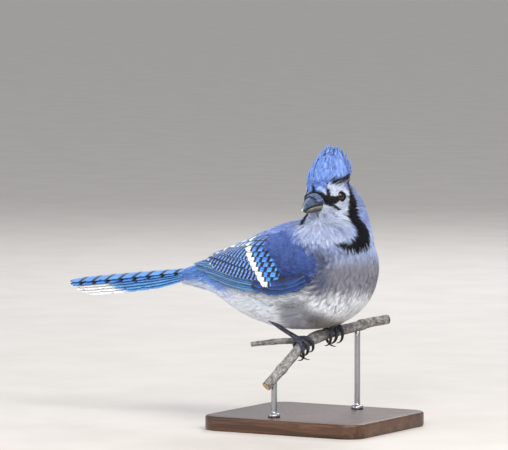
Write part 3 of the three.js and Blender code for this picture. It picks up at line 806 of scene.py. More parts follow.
@dataclass(frozen=True)
class HornFinish:
    """Bill or claw horn: dark, scratched along its length, paler where worn, with painted highlight and
    shade.
    """

    name: str
    dark: str
    light: str
    # The colour of worn horn, which also paints the highlight along the bill's ridge and under its mouth
    worn: str
    roughness: float = 0.3
    coat: float = 0.25

    def made(self) -> bpy.types.Material:
        """Make the material, which reads from the mesh how worn the horn is and where light and shade are
        painted.
        """
        sheet = NodeSheet(
            self.name, Specular_IOR_Level=2 * self.coat, Coat_Weight=self.coat, Coat_Roughness=0.25
        )
        cloud, fine = sheet.noise(sheet.places(), 2.2), sheet.noise(sheet.places((1, 0.25, 1)), 0.3, 4.0)
        wear_and_painted_light = sheet.attribute("worn")
        colour = sheet.blend(cloud.rise(0.3, 0.7), self.dark, self.light)
        # Paler where the layer is positive: worn horn and painted highlight; darker where it is negative: the
        # mouth's line and painted shade
        wear_and_highlight, shaded = (wear_and_painted_light + (fine - 0.5) * 0.3).rise(0.1, 1.0), (0.0 - wear_and_painted_light).rise(0.1, 0.9)
        colour = sheet.over(colour, (wear_and_highlight, self.worn), (shaded, "050608"))
        return sheet.finished(colour, self.roughness + (fine - 0.4) * 0.3, fine, 0.04)


@dataclass(frozen=True)
class EyeFinish:
    """The eyeball: black pupil, dark brown iris with fine spokes, and a wet surface."""

    name: str = "eye_wet"
    pupil: float = 0.5
    iris: float = 0.84

    def made(self) -> bpy.types.Material:
        """Make the material, which reads the distance from the eye's middle from its map."""
        sheet = NodeSheet(
            self.name, Roughness=0.08, Specular_IOR_Level=0.35, Coat_Weight=0.4, Coat_Roughness=0.03
        )
        turn, reach = sheet.map("Iris")
        spokes = sheet.noise(sheet.vector(X=turn * 26.0, Y=reach * 2.0), 1.0)
        brown = sheet.blend(spokes.rise(0.3, 0.75), "0a0504", "2a160c")
        brown = sheet.blend(reach.rise(self.iris - 0.16, self.iris), brown, "0a0706")
        return sheet.finished(
            sheet.blend(reach.rise(self.pupil - 0.03, self.pupil + 0.04), "020203", brown), None
        )


@dataclass(frozen=True)
class ScaleFinish:
    """Bird's leg skin: dark grey scales with paler worn faces and dark creases."""

    name: str = "leg_scales"

    def made(self) -> bpy.types.Material:
        """Make the material."""
        sheet = NodeSheet(self.name, Specular_IOR_Level=0.45)
        at = sheet.places()
        face, cloud = sheet.cracks(at, 1.5).rise(0.02, 0.16), sheet.noise(at, 1.6)
        colour = sheet.blend(face, "0e0f14", sheet.blend(cloud.rise(0.3, 0.7), "20222b", "585d6f"))
        roughness = 0.52 - face * 0.14 + (cloud - 0.5) * 0.2
        return sheet.finished(colour, roughness, face * 0.8 + cloud * 0.2, 0.09)


@dataclass(frozen=True)
class BarkFinish:
    """Weathered grey bark with fine cracks, warm hollows and pale lichen."""

    name: str = "bark"

    def made(self) -> bpy.types.Material:
        """Make the material, with a map that runs round and along the branch."""
        sheet = NodeSheet(self.name, Specular_IOR_Level=0.2)
        at = sheet.places()
        coarse, fine = sheet.noise(at, 3.2, 5.0, 0.6), sheet.noise(at, 0.55, 4.0, 0.65)
        turn, along = sheet.map("Grain")
        groove = 1 - sheet.cracks(sheet.vector(X=turn, Y=along * 0.22, Z=0.4), 0.95).rise(0.0, 0.09)
        lichen = sheet.noise(at, 7.0, 4.0, 0.6).rise(0.6, 0.68)
        colour = sheet.blend(coarse.rise(0.32, 0.66), "6f6964", "aeacab")
        worn, hollow = fine.rise(0.5, 0.75) * 0.6, groove * 0.75
        colour = sheet.over(colour, (worn, "cfcdcb"), (hollow, "3a2e27"), (lichen * 0.6, "b9bdb2"))
        height = coarse * 0.5 + fine * 0.3 - groove * 0.4
        return sheet.finished(colour, 0.82 + (fine - 0.5) * 0.2, height, 0.5)


@dataclass(frozen=True)
class CutFinish:
    """The sawn end of a twig: pale wood with year rings round a darker pith."""

    name: str = "cut_wood"

    def made(self) -> bpy.types.Material:
        """Make the material, which reads the distance from the pith from its map."""
        sheet = NodeSheet(self.name, Specular_IOR_Level=0.2)
        reach, _ = sheet.map("Rings")
        ragged = sheet.noise(sheet.places(), 0.8, 4.0)
        ring = ((reach + (ragged - 0.5) * 0.2) * 1.7).repeat().rise(0.7, 1.0)
        pith, rind = 1 - reach.rise(0.3, 0.55), reach.rise(2.9, 3.2)
        colour = sheet.over(sheet.blend(ring * 0.6, "cbb491", "93724d"), (pith, "6d5238"), (rind, "57463a"))
        return sheet.finished(colour, 0.7 + (ragged - 0.5) * 0.2, ragged, 0.12)


@dataclass(frozen=True)
class WalnutFinish:
    """Oiled walnut with its grain along the base's length."""

    name: str = "oiled_walnut"

    def made(self) -> bpy.types.Material:
        """Make the material."""
        sheet = NodeSheet(self.name, Specular_IOR_Level=0.4, Coat_Weight=0.2, Coat_Roughness=0.25)
        figure = sheet.noise(sheet.places((0.07, 1.0, 1.0)), 9.0, 5.0, 0.6)
        band = ((figure * 9.0).repeat() - 0.5).size().rise(0.05, 0.5)
        pore = sheet.noise(sheet.places((0.05, 1.0, 1.0)), 0.35, 2.0).rise(0.62, 0.72)
        colour = sheet.blend(figure.rise(0.3, 0.7), "3b2416", "6b4730")
        colour = sheet.over(colour, (band * 0.45, "2a180e"), (pore * 0.6, "1d110a"))
        return sheet.finished(colour, 0.36 + pore * 0.25 + (figure - 0.5) * 0.15, 1 - pore, 0.05)


@dataclass(frozen=True)
class SteelFinish:
    """Brushed steel with its brush marks round the rod."""

    name: str = "brushed_steel"

    def made(self) -> bpy.types.Material:
        """Make the material."""
        sheet = NodeSheet(self.name, Metallic=1.0)
        brush = sheet.noise(sheet.places((0.15, 0.15, 1.0)), 0.12)
        haze = sheet.noise(sheet.places(), 6.0, 2.0)
        colour = sheet.blend(brush.rise(0.3, 0.7), "8d9094", "b8babd")
        return sheet.finished(colour, 0.24 + brush * 0.12 + (haze - 0.5) * 0.12, brush, 0.01)


Finish = (
    PlumageFinish | VaneFinish | HornFinish | EyeFinish | ScaleFinish | BarkFinish | CutFinish | WalnutFinish
    | SteelFinish
)


@lru_cache(maxsize=None)
def material(finish: Finish) -> bpy.types.Material:
    """Return a finish's material, which is made once for all its pieces."""
    return finish.made()


@dataclass
class BirdForm:
    """The sizes of the bird's flesh, and the surfaces that its plumage follows."""

    body_x: tuple[float, ...] = (-106, -92, -80, -66, -52, -36, -16, 4, 20, 33, 41, 46.5)
    body_top: tuple[float, ...] = (42, 47.5, 52.5, 58.5, 64, 70.8, 79.2, 84.5, 83, 77.5, 69, 59)
    body_bottom: tuple[float, ...] = (35, 32, 28, 21, 14, 8.7, 5.4, 6.3, 11, 19.5, 31, 44)
    body_half: tuple[float, ...] = (6, 10, 14, 20.5, 26.5, 31.5, 35.5, 36.5, 33.5, 27, 18, 7)
    widest_share: float = 0.47
    neck_z: tuple[float, ...] = (58, 64, 70, 76, 82, 89, 96, 102, 107)
    neck_x: tuple[float, ...] = (13, 13.3, 13, 12.5, 13, 12.3, 11.7, 11.5, 11.5)
    neck_y: tuple[float, ...] = (-1, -3.5, -3, -1, 4, 11.7, 13.7, 13, 11)
    neck_radius: tuple[float, ...] = (24, 30.6, 31, 29.2, 24.7, 19.4, 16, 11, 4.5)
    head_centre: tuple[float, float, float] = (11.0, -5.6, 96.5)
    head_yaw: float = -87.0
    head_f: tuple[float, ...] = (-21, -18, -12, -6, 1, 8, 13, 17.5)
    head_half: tuple[float, ...] = (4, 9.5, 14.2, 15.5, 14.6, 12.2, 9.2, 5.4)
    head_up: tuple[float, ...] = (5, 9.5, 13.4, 15, 14.6, 12.2, 8.8, 4.6)
    head_down: tuple[float, ...] = (3, 8.4, 13.4, 15.5, 15.2, 13, 10.4, 7)
    crest_up: tuple[float, ...] = (7, 13, 20, 27, 33, 37.5)
    crest_middle: tuple[float, ...] = (-3.6, -4.6, -6.8, -9, -11, -12.5)
    crest_long: tuple[float, ...] = (17, 17.2, 14.6, 10, 5, 1)
    crest_wide: tuple[float, ...] = (12, 13, 11.2, 7.6, 3.8, 0.8)
    core_top: float = 31.0
    eye_place: tuple[float, float, float] = (0.1, 10.2, 2.3)
    eye_radius: float = 4.5
    eye_turn: float = 36.0
    # Room in the belly for the top of the left foot: a ball's middle, and its radius
    foot_room: tuple[tuple[float, float, float], float] = ((7.1, 10.0, 7.5), 6.4)

    def __post_init__(self) -> None:
        """Turn the tables into smooth functions and the head's frame into directions."""
        self.top, self.bottom, self.half = curves(
            self.body_x, self.body_top, self.body_bottom, self.body_half
        )
        yaw = math.radians(self.head_yaw)
        self.forward = np.array([math.cos(yaw), math.sin(yaw), 0.0])
        self.left = np.array([-math.sin(yaw), math.cos(yaw), 0.0])
        self.up = np.array([0.0, 0.0, 1.0])

    def head_point(self, forward: Array, left: Array, up: Array) -> Array:
        """Return a point of the head's own frame, given forward, left and up from its middle."""
        parts = (forward, self.forward), (left, self.left), (up, self.up)
        return sum((np.asarray(v, float)[..., None] * way for v, way in parts), np.array(self.head_centre))

    def in_head(self, points: Array) -> tuple[Array, Array, Array]:
        """Return how far forward, left and up of the head's middle points are."""
        q = points - np.array(self.head_centre)
        return q @ self.forward, q @ self.left, q @ self.up

    def middle(self, x: Array) -> Array:
        """Return the height at which the body is widest."""
        return self.bottom(x) + self.widest_share * (self.top(x) - self.bottom(x))

    def body_point(self, x: Array, angle: Array, lift: Array = 0.0, side: float = 1.0) -> Array:
        """Return a point over the body.

        Args:
            x: Its place along the body.
            angle: Its angle round the body, in degrees up from straight out.
            lift: Its height above the body.
            side: 1 for the left side, or -1 for the right.

        Returns:
            The point.
        """
        x, angle = np.broadcast_arrays(np.asarray(x, float), np.radians(angle))
        middle, over = self.middle(x), np.sin(angle) > 0
        rise = np.where(over, self.top(x) - middle, middle - self.bottom(x)) + lift
        power = 2 / np.where(over, 2.0, 2.2)
        wide = (self.half(x) + lift) * np.sign(np.cos(angle)) * np.abs(np.cos(angle)) ** power
        high = rise * np.sign(np.sin(angle)) * np.abs(np.sin(angle)) ** power
        return np.stack([x, side * wide, middle + high], axis=-1)

    def angle_at(self, x: Array, z: Array) -> Array:
        """Return the angle round the body at which its side has a height.

        Args:
            x: How far ahead the points are.
            z: Their heights.

        Returns:
            The angles in degrees.
        """
        middle = self.middle(x)
        over = z > middle
        share = np.clip(
            np.abs(z - middle) / np.where(over, self.top(x) - middle, middle - self.bottom(x)), 0, 1
        )
        return np.degrees(np.where(over, 1, -1) * np.arcsin(share ** np.where(over, 1.0, 1.1)))

    def crest_point(self, up: Array, angle: Array, lift: Array = 0.0) -> Array:
        """Return a point over the crest, at a height in the head's frame and an angle from straight ahead.

        Args:
            up: The height.
            angle: The angle in degrees.
            lift: How far the point is off the crest's core.

        Returns:
            The point in the bird's frame.
        """
        up, angle = np.broadcast_arrays(np.asarray(up, float), np.radians(angle))
        tables = curves(self.crest_up, self.crest_middle, self.crest_long, self.crest_wide)
        middle, long, wide = (table(up) for table in tables)
        return self.head_point(middle + (long + lift) * np.cos(angle), (wide + lift) * np.sin(angle), up)

    def crest_form(self, low: float, high: float, rings: int, sides: int) -> Shape:
        """Return the crest's core between two heights."""
        ups, turn = np.linspace(low, high, rings), np.linspace(0, 360, sides, endpoint=False)
        return loft(self.crest_point(ups[:, None], turn[None], -1.2))

    def flesh(self) -> list[Shape]:
        """Return the body with its rump, the neck, the head and the crest's core as closed forms."""
        xs = np.linspace(self.body_x[0], self.body_x[-1], 44)
        round_body = np.linspace(0, 360, 48, endpoint=False)
        zs, turn = np.linspace(self.neck_z[0], self.neck_z[-1], 30)[:, None], circle(40)
        x, y, r = (f(zs) for f in curves(self.neck_z, self.neck_x, self.neck_y, self.neck_radius))
        neck = np.stack([x + r * np.cos(turn), y + r * np.sin(turn), zs + 0 * turn], axis=-1)
        fs = np.sin(np.linspace(-1, 1, 30) * math.pi / 2)
        fs = (self.head_f[0] + (fs + 1) / 2 * (self.head_f[-1] - self.head_f[0]))[:, None]
        half, up, down = (f(fs) for f in curves(self.head_f, self.head_half, self.head_up, self.head_down))
        turn = circle(36)
        high = np.where(np.sin(turn) > 0, up, down) * np.sin(turn)
        head = self.head_point(fs + 0 * turn, half * np.cos(turn), high)
        crest = self.crest_form(self.crest_up[0], self.core_top, 16, 30)
        return [loft(self.body_point(xs[:, None], round_body[None])), loft(neck), loft(head), crest]

    def eye_centre(self, side: float) -> Array:
        """Return the middle of an eyeball."""
        f, out, up = self.eye_place
        return self.head_point(f, side * out, up)

    def eye_out(self, side: float) -> Array:
        """Return the direction in which an eye looks."""
        turn = math.radians(self.eye_turn)
        return self.forward * math.sin(turn) + self.left * side * math.cos(turn)

    def unwrapped(self, points: Array) -> Array:
        """Return places on an unwrap of the skin's own shape, round and along the body and the head.

        Args:
            points: Points on or near the skin.

        Returns:
            Their two coordinates, from 0 to 1.
        """
        f, l, _ = self.in_head(points)
        x, y, z = points.T
        on_top = z > 66 + 0.55 * np.clip(12 - x, 0, 40)
        middle = self.bottom(x) + 0.5 * (self.top(x) - self.bottom(x))
        out = []
        for start, turn, along in (
            (0.02, np.arctan2(y, z - middle), (x + 110) / 160), (0.52, np.arctan2(l, -f - 4), (z - 60) / 78),
        ):
            across_map = start + 0.46 * (turn / (2 * math.pi) + 0.5)
            out.append(np.stack([across_map, 0.02 + 0.94 * np.clip(along, 0, 1)], axis=1))
        return np.where(on_top[:, None], out[1], out[0])


@dataclass(frozen=True)
class Stroke:
    """A brush stroke: its corners, each three coordinates and half its width there, and how it is laid.

    A mirrored one is on both sides of the head, and a hairy one is broken up like hairs.
    """

    path: tuple[tuple[float, ...], ...]
    soft: float
    mirrored: bool = True
    strength: float = 1.0
    hairy: bool = False

    def share(self, points: Array) -> Array:
        """Return how much points lie under the stroke, from 0 to 1.

        Args:
            points: The points, one in each row.

        Returns:
            Each point's share.
        """
        rows = np.array(self.path, float)
        best = np.zeros(len(points))
        for start, end in zip(rows[:-1], rows[1:]):
            line = end[:3] - start[:3]
            t = np.clip(((points - start[:3]) @ line) / (line @ line), 0, 1)
            away = np.linalg.norm(points - start[:3] - t[:, None] * line, axis=1)
            width = start[3] + (end[3] - start[3]) * t
            best = np.maximum(best, 1 - ease(width - self.soft, width + self.soft, away))
        return best


@dataclass
class Plumage:
    """Where each colour of the jay's plumage lies on its skin."""

    form: BirdForm
    # Black of the lores, the bill's band, the spurs over it, the eye line, the brow, the gape and the chin,
    # forward, left and up from the head's middle
    head_ink: tuple[Stroke, ...] = (
        Stroke(
            ((14.3, 7, 0.8, 2.8), (11.7, 9.4, 0.5, 3.2), (7.6, 11.4, 0.4, 2.9), (4.6, 12.8, 1.2, 1.9)), 0.5
        ),
        Stroke(
            ((15.6, 0, 6.6, 1.1), (15.4, 3.5, 5.6, 1.2), (14, 6.9, 3.6, 1.3), (11.5, 9.8, 1.7, 1.6)), 0.45
        ),
        Stroke((
            (11.6, 9, 3.6, 1.5), (10.4, 7.6, 7.6, 1.2), (9.7, 6.6, 11.1, 0.9), (8.5, 5.6, 13.2, 0.3)
        ), 0.4, False),
        Stroke(((15.2, -1, 5.6, 1.3), (13.2, -2.2, 8.2, 1.3), (11, -4.2, 10.6, 0.7)), 0.4, False),
        Stroke(((11.4, -9, 4.4, 1.5), (10.6, -8.6, 7, 1.1), (10, -8.2, 9, 0.4)), 0.4, False),
        Stroke((
            (-1, 14.4, 2.4, 0.8), (-5.4, 14.9, 2, 0.6), (-9.7, 14.6, 1.4, 0.6), (-13.5, 15.6, -0.4, 0.9)
        ), 0.35),
        Stroke(((7.2, 8.4, 12, 0.9), (4.2, 11.3, 13.1, 1.2), (-2.2, 12.9, 14, 1.7), (-9, 12.6, 14.6, 2.2),
                (-15.8, 10.6, 14.6, 2.6)), 0.5, strength=0.85, hairy=True),
        Stroke(((12.4, 7.5, -1.9, 1.1), (11, 9.8, -2.7, 1.2), (7.6, 11.5, -4, 1.1), (4, 12.2, -5.9, 1),
                (1.2, 12.9, -6.4, 0.6)), 0.3),
        Stroke(((13.4, 0.2, -9.6, 0.8), (11.5, 0.4, -12.4, 0.5), (9.4, 0.5, -14.6, 0.2)), 0.5, False, 0.75),
        Stroke((
            (10, 9.6, -6.6, 0.6), (5.5, 11.4, -9.2, 0.4), (-0.5, 13, -11.6, 0.3)
        ), 0.3, strength=0.5, hairy=True),
    )
    # The collar from the nape under the crest, on the near side to its end on the breast, and on the far side
    collar: tuple[Stroke, ...] = (
        Stroke((
            (5, 18, 105, 2.6), (11, 18, 107.5, 2.6), (15.5, 16, 109.5, 2.7), (19.2, 12, 111, 2.9),
            (21.2, 10.6, 107.5, 3.2), (23, 10, 104, 3.3), (24.8, 9.2, 100.1, 3.5), (27.3, 6.6, 95.5, 4.1),
            (30, 3.6, 90.1, 4.4), (32.8, -1.4, 85.6, 5), (36.6, -3.6, 81.7, 5.2), (39.8, -3.8, 78.3, 5.9),
            (42.6, -4.4, 73.6, 6.9), (43.6, -7, 68.3, 7), (41.7, -13.7, 64.4, 5.4), (38.4, -18.9, 63.2, 3.4),
            (35.3, -24.4, 65.1, 2), (32.6, -26.6, 66.1, 1),
        ), 0.5),
        Stroke((
            (5, 18, 105, 2.6), (-1, 15.5, 101.5, 2.6), (-4.8, 11.5, 97, 2.7), (-6, 4, 90.5, 2.8),
            (-4.4, -5, 86, 2.4), (-3, -9.9, 84.1, 2), (-2.6, -14.7, 81.9, 1.9), (-0.5, -21, 79.4, 1.8),
            (-0.3, -24.8, 76.9, 1.2),
        ), 0.5),
    )
    # The lower edge of the white bib, from the near side round the breast to the far side
    bib_edge: tuple[tuple[float, float, float], ...] = (
        (26, 7, 92), (28, 2, 88), (31, -4, 83.5), (34.5, -9.2, 80.1), (39.5, -13.2, 73.6), (39, -17.5, 69.7),
        (36.6, -22.6, 67.1), (31.5, -27.3, 65.8), (23.8, -31.7, 63.4), (14, -33.8, 64.6), (5, -31.9, 70.4),
        (-1.1, -28.2, 74.9), (-3.4, -20.2, 78.7), (-5.5, -10, 82), (-9, 0, 86),
    )
    bib_middle: tuple[float, float] = (16.0, -8.0)
    # The cap's edge over the eyes: places forward of the head's middle, and their heights
    cap_edge: tuple[tuple[float, ...], tuple[float, ...]] = (
        (-16.3, -4.4, 3.1, 7.2, 10.0, 12.1, 16.0), (15.8, 14.6, 13.6, 12.6, 11.6, 10.4, 7.5),
    )
    # Pale balls over the bill's band: middles and radii
    spots: tuple[tuple[float, float, float, float], ...] = (
        (12.4, 2.4, 8.9, 1.6), (12.6, 5.5, 7.1, 1.7), (12.3, 4.0, 8.3, 1.3),
    )

    def white_share(self, points: Array) -> Array:
        """Return how much points belong to the white face and bib, from 0 to 1.

        Args:
            points: The points, one in each row.

        Returns:
            Each point's share.
        """
        edge = path_points(self.bib_edge, 60)
        x, y = self.bib_middle
        turn = np.arctan2(points[:, 1] - y, points[:, 0] - x)
        edge_turn = np.unwrap(np.arctan2(edge[:, 1] - y, edge[:, 0] - x))
        low, high, order = edge_turn.min(), edge_turn.max(), np.argsort(edge_turn)
        turn = np.where(turn > high, turn - 2 * math.pi, turn)
        turn = np.where(turn < low, turn + 2 * math.pi, turn)
        height = np.interp(turn, edge_turn[order], edge[order, 2])
        return ease(-0.8, 0.8, points[:, 2] - height - np.where((turn > high) | (turn < low), 30.0, 0.0))

    def body(self, points: Array, cloud: Array, fine: Array) -> Array:
        """Return the colour of everything below the head.

        Args:
            points: Points on or near the skin.
            cloud: A coarse unevenness at each.
            fine: A fine one.

        Returns:
            Linear colours: white flanks, lilac-grey breast, blue back and slate-blue nape, with painted shade
                beside the wing, low on the belly, and brown-grey round the legs.
        """
        form, (x, _, z), count = self.form, points.T, len(points)
        middle = form.middle(x)
        high = (z - middle) / np.maximum(form.top(x) - middle, 5)
        breast = ease(0, 22, x) * ease(22, 36, z + 2 * cloud)
        # Painted shade on the breast beside the front of the wing
        shaded = breast * (1 - ease(20, 32, x)) * ease(28, 40, z) * (1 - ease(56, 64, z))
        back = ease(0.30, 0.62, high + 0.05 * fine) * (1 - ease(12, 26, x))
        back = np.maximum(back, (1 - ease(-66, -48, x)) * ease(-0.5, -0.2, high + 0.12 * fine))
        blue = layered(
            "8ba5e2", count, ("aab9ee", ease(-0.3, 0.8, cloud) * 0.5), ("74a4ea", 1 - ease(-80, -40, x)),
        )
        return layered(
            "f2f6fc", count, ("777683", breast * 0.9),
            ("b0c2ee", breast * ease(46, 62, z + 2 * cloud) * 0.85),
            # Painted shade beside the wing, low on the belly, and in brown-grey round the tops of the legs
            ("525d7f", shaded * 0.8), ("8b8c97", (1 - ease(9, 19, np.hypot(x + 2, z - 14))) * 0.8),
            ("6a625b", (1 - ease(4, 12, np.hypot(x - 12, z - 10))) * 0.75),
            ("a9a8ad", ease(0.1, 1.0, cloud) * 0.2),
            ("d9e3f4", 1 - ease(-86, -48, x)), (blue, back),
            ("8799cf", ease(71, 79, z) * (0.75 + 0.2 * fine)),
        )

    def face(self, head: Array, fine: Array) -> Array:
        """Return the white of face and bib, with painted shade in fine streaks that fan out from the bill,
        and under the chin.

        Args:
            head: Points in the head's frame.
            fine: Fine variation at each point.

        Returns:
            Linear colours, one in each row.
        """
        f, l, u = head.T
        fan = np.stack([np.arctan2(l, 16.0 - f) * 14.0, u * 0.9 + l * 0.3, f * 0.25], axis=1)
        # Painted shade between the feather groups, in streaks that fan out from the bill
        streaks = ease(0.25, 0.8, ripple(fan, 1.8, 7)) * (1 - ease(10, 20, u)) * ease(-30, -22, u)
        return layered(
            "e6ecf9", len(head), ("a9c0f4", ease(-0.3, 1.0, fine) * 0.5),
            ("4d5773", streaks * (0.6 - 0.3 * ease(-12, -6, u))),
            # Painted shade under the bill, in the middle of the bib
            ("8292b8", (1 - ease(5, 15, np.hypot(f - 14, u + 17))) * 0.35),
            ("9db1e4", (1 - ease(-26, -14, u)) * 0.4),
        )

    def cap_share(self, head: Array, fine: Array) -> Array:
        """Return how much points of the head belong to its blue cap.

        Args:
            head: Points in the head's frame.
            fine: Fine variation at each point.

        Returns:
            Each point's share.
        """
        f, l, u = head.T
        lower = 4.5 * ease(2, 7, -l) * ease(-6, 4, f) - 1.6 * (1 - ease(-14, -4, f))
        cap = ease(-0.7, 0.7, u - curve_through(*self.cap_edge)(f) + 0.5 * fine + lower)
        brow = ease(8.8, 10.0, f + 0.3 * fine) * ease(5.0, 6.2, u) * (1 - ease(8.0, 9.2, np.abs(l)))
        return np.maximum(cap, brow)

    def ink_share(self, points: Array, head: Array, fine: Array) -> Array:
        """Return how black points are.

        Args:
            points: The points.
            head: The same points in the head's frame.
            fine: A fine unevenness at each.

        Returns:
            The share for each, from 0 to 1.
        """
        f, l, u = head.T
        both = np.stack([f, np.abs(l), u], axis=1)
        hairs = ease(-0.05, 0.5, ripple(head * np.array([0.45, 1.0, 2.4]), 3.2, 5))
        shares = [ease(12.6, 13.8, f) * ease(-2.8, -1.6, u) * (1 - ease(5.6, 6.8, u))]
        for stroke in self.head_ink:
            share = stroke.share(both if stroke.mirrored else head) * stroke.strength
            shares.append(share * hairs if stroke.hairy else share)
        shaken = points + np.c_[fine, ripple(points, 3.0, 3), ripple(points, 2.6, 4)] * 0.4
        return np.max(shares + [stroke.share(shaken) for stroke in self.collar], axis=0)

    def colour(self, points: Array) -> Array:
        """Return the plumage's colour at points on or near the skin, as linear values in rows.

        Args:
            points: The points, one in each row.

        Returns:
            Linear colours, one in each row.
        """
        count, (f, l, u) = len(points), self.form.in_head(points)
        head = np.stack([f, l, u], axis=1)
        cloud, fine = ripple(points, 16.0, 1), ripple(points, 3.2, 2)
        crown = layered("7399e2", count, ("a2baf0", ease(-0.4, 0.9, cloud + 0.5 * fine) * 0.6))
        away = [
            (np.sqrt((f - a) ** 2 + (l - b) ** 2 + (u - c) ** 2), radius) for a, b, c, radius in self.spots
        ]
        spots = np.max([1 - ease(radius - 0.4, radius + 0.4, far) for far, radius in away], axis=0)
        return layered(
            self.body(points, cloud, fine), count,
            (self.face(head, fine), self.white_share(points + np.c_[fine, -fine, fine] * 0.7)),
            (crown, self.cap_share(head, fine)), ("0a0c14", self.ink_share(points, head, fine)),
            ("c6dafe", spots),
        )


@dataclass
class Skin:
    """One skin under the whole coat."""

    form: BirdForm
    plumage: Plumage
    coat_depth: float = 1.3
    head_depth: float = 0.7
    voxel: float = 1.15

    def build(self) -> Ground:
        """Fuse the body, neck, head and crest, and draw them in by the coat's depth.

        Returns:
            The surface, for the coat to be laid on.
        """
        form = self.form
        whole = fused(form.flesh(), self.voxel, 6)
        f, l, u = form.in_head(whole.points)
        on_head = 1 - ease(15, 26, np.sqrt(f**2 + l**2 + (u - 2) ** 2))
        depth = self.coat_depth - (self.coat_depth - self.head_depth) * on_head
        whole.points = whole.points - point_normals(whole) * depth[:, None]
        for side in SIDES.values():
            self.sink_socket(whole, side)
        # Behind the bill's corners the face stops short, so that the horn shows
        f, _, u = form.in_head(whole.points)
        short = 0.75 * np.maximum(f - 11.5, 0) * (1 - ease(-1.5, 0.5, u)) * ease(-12, -9, u)
        whole.points = whole.points - np.outer(short, form.forward)
        centre, radius = form.foot_room
        away = whole.points - np.array(centre)
        distance = np.linalg.norm(away, axis=1, keepdims=True)
        whole.points = np.where(distance < radius, centre + away / distance * radius, whole.points)
        return Ground(whole)

    def sink_socket(self, shape: Shape, side: float) -> None:
        """Press the skin in behind an eyeball, so that the eye sits in a socket.

        Args:
            shape: The skin, which is changed.
            side: Which eye it is: 1 for the left and -1 for the right.
        """
        away = shape.points - self.form.eye_centre(side)
        out = self.form.eye_out(side)
        ahead, reach = away @ out, 0.2 * (self.form.eye_radius - 0.35)
        pressed = (ahead > 0.5) & (np.linalg.norm(away, axis=1) > reach)
        pressed &= np.linalg.norm(away - np.outer(ahead, out), axis=1) < 3.0
        shape.points[pressed] -= np.outer(np.maximum(ahead[pressed] - 1.2, 0), out)

    def dress(self) -> Ground:
        """Make the skin's piece, with the same markings as the coat, and return its surface."""
        ground = self.build()
        shape = ground.shape
        shape.colours = self.plumage.colour(shape.points)
        shape.maps[BAKE_MAP] = self.form.unwrapped(shape.points)
        finish = material(PlumageFinish("skin_down", roughness=0.75))
        dressed(shape.made("skin", finish), "breast_feathers", "torso", "neck", "rump", "head")
        return ground


class Region(Enum):
    """The pieces that the coat is made in: their slots, barbs in a feather and thickness of a barb in mm."""

    HEAD = ("face_feathers", 9, 0.2)
    THROAT = ("face_feathers", 13, 0.21)
    BREAST = ("breast_feathers", 17, 0.25)
    BELLY = ("breast_feathers", 17, 0.251)
    BACK = ("wing_feathers", 17, 0.25)

    def __init__(self, slot: str, barbs: int, thick: float) -> None:
        """Name the three values."""
        self.slot, self.barbs, self.thick = slot, barbs, thick


@dataclass
class Tufts:
    """Small feathers to be made: where each is rooted, where it points, and its sizes in mm."""

    roots: Array
    normals: Array
    flow: Array
    length: Array
    width: Array
    lift: Array
    barbs: int = 11
    thick: float = 0.26
    bed: float = 0.25
    splay: float = 1.75
    # How dark each barb is painted at its root, as painted shade from the feathers over it
    root_shade: float = 0.9

    def picked(self, chosen: Array, barbs: int, thick: float) -> "Tufts":
        """Return some of the tufts, with barbs of their own."""
        rows = (self.roots, self.normals, self.flow, self.length, self.width, self.lift)
        return Tufts(*(r[chosen] for r in rows), barbs, thick)

    def shafts(self, ground: Ground | None, rng: np.random.Generator) -> tuple[Array, Array, Array, Array]:
        """Lay the shafts along a surface, or straight where there is none.

        Args:
            ground: The surface.
            rng: The source of chance.

        Returns:
            The shafts' roots, middles and ends, and the surface's directions at their ends.
        """
        length, root = self.length[:, None], self.roots + self.normals * self.bed
        if ground is None:
            end = root + unit(self.flow) * length
            return root, (root + end) / 2 + self.normals * length * 0.05, end, self.normals
        flow = unit(self.flow - self.normals * np.sum(self.flow * self.normals, axis=1, keepdims=True))
        middle, middle_normal = ground.nearest(self.roots + flow * length * 0.5)
        end, end_normal = ground.nearest(self.roots + flow * length)
        middle = middle + middle_normal * self.lift[:, None]
        end = end + end_normal * self.lift[:, None] * rng.uniform(0.55, 1.05, (len(root), 1))
        return root, middle, end, end_normal


BARB = np.array([
    [0, 3, 4], [0, 4, 1], [1, 4, 5], [1, 5, 2], [2, 5, 3], [2, 3, 0], [0, 1, 2], [3, 6, 4], [4, 6, 5],
    [5, 6, 3],
])


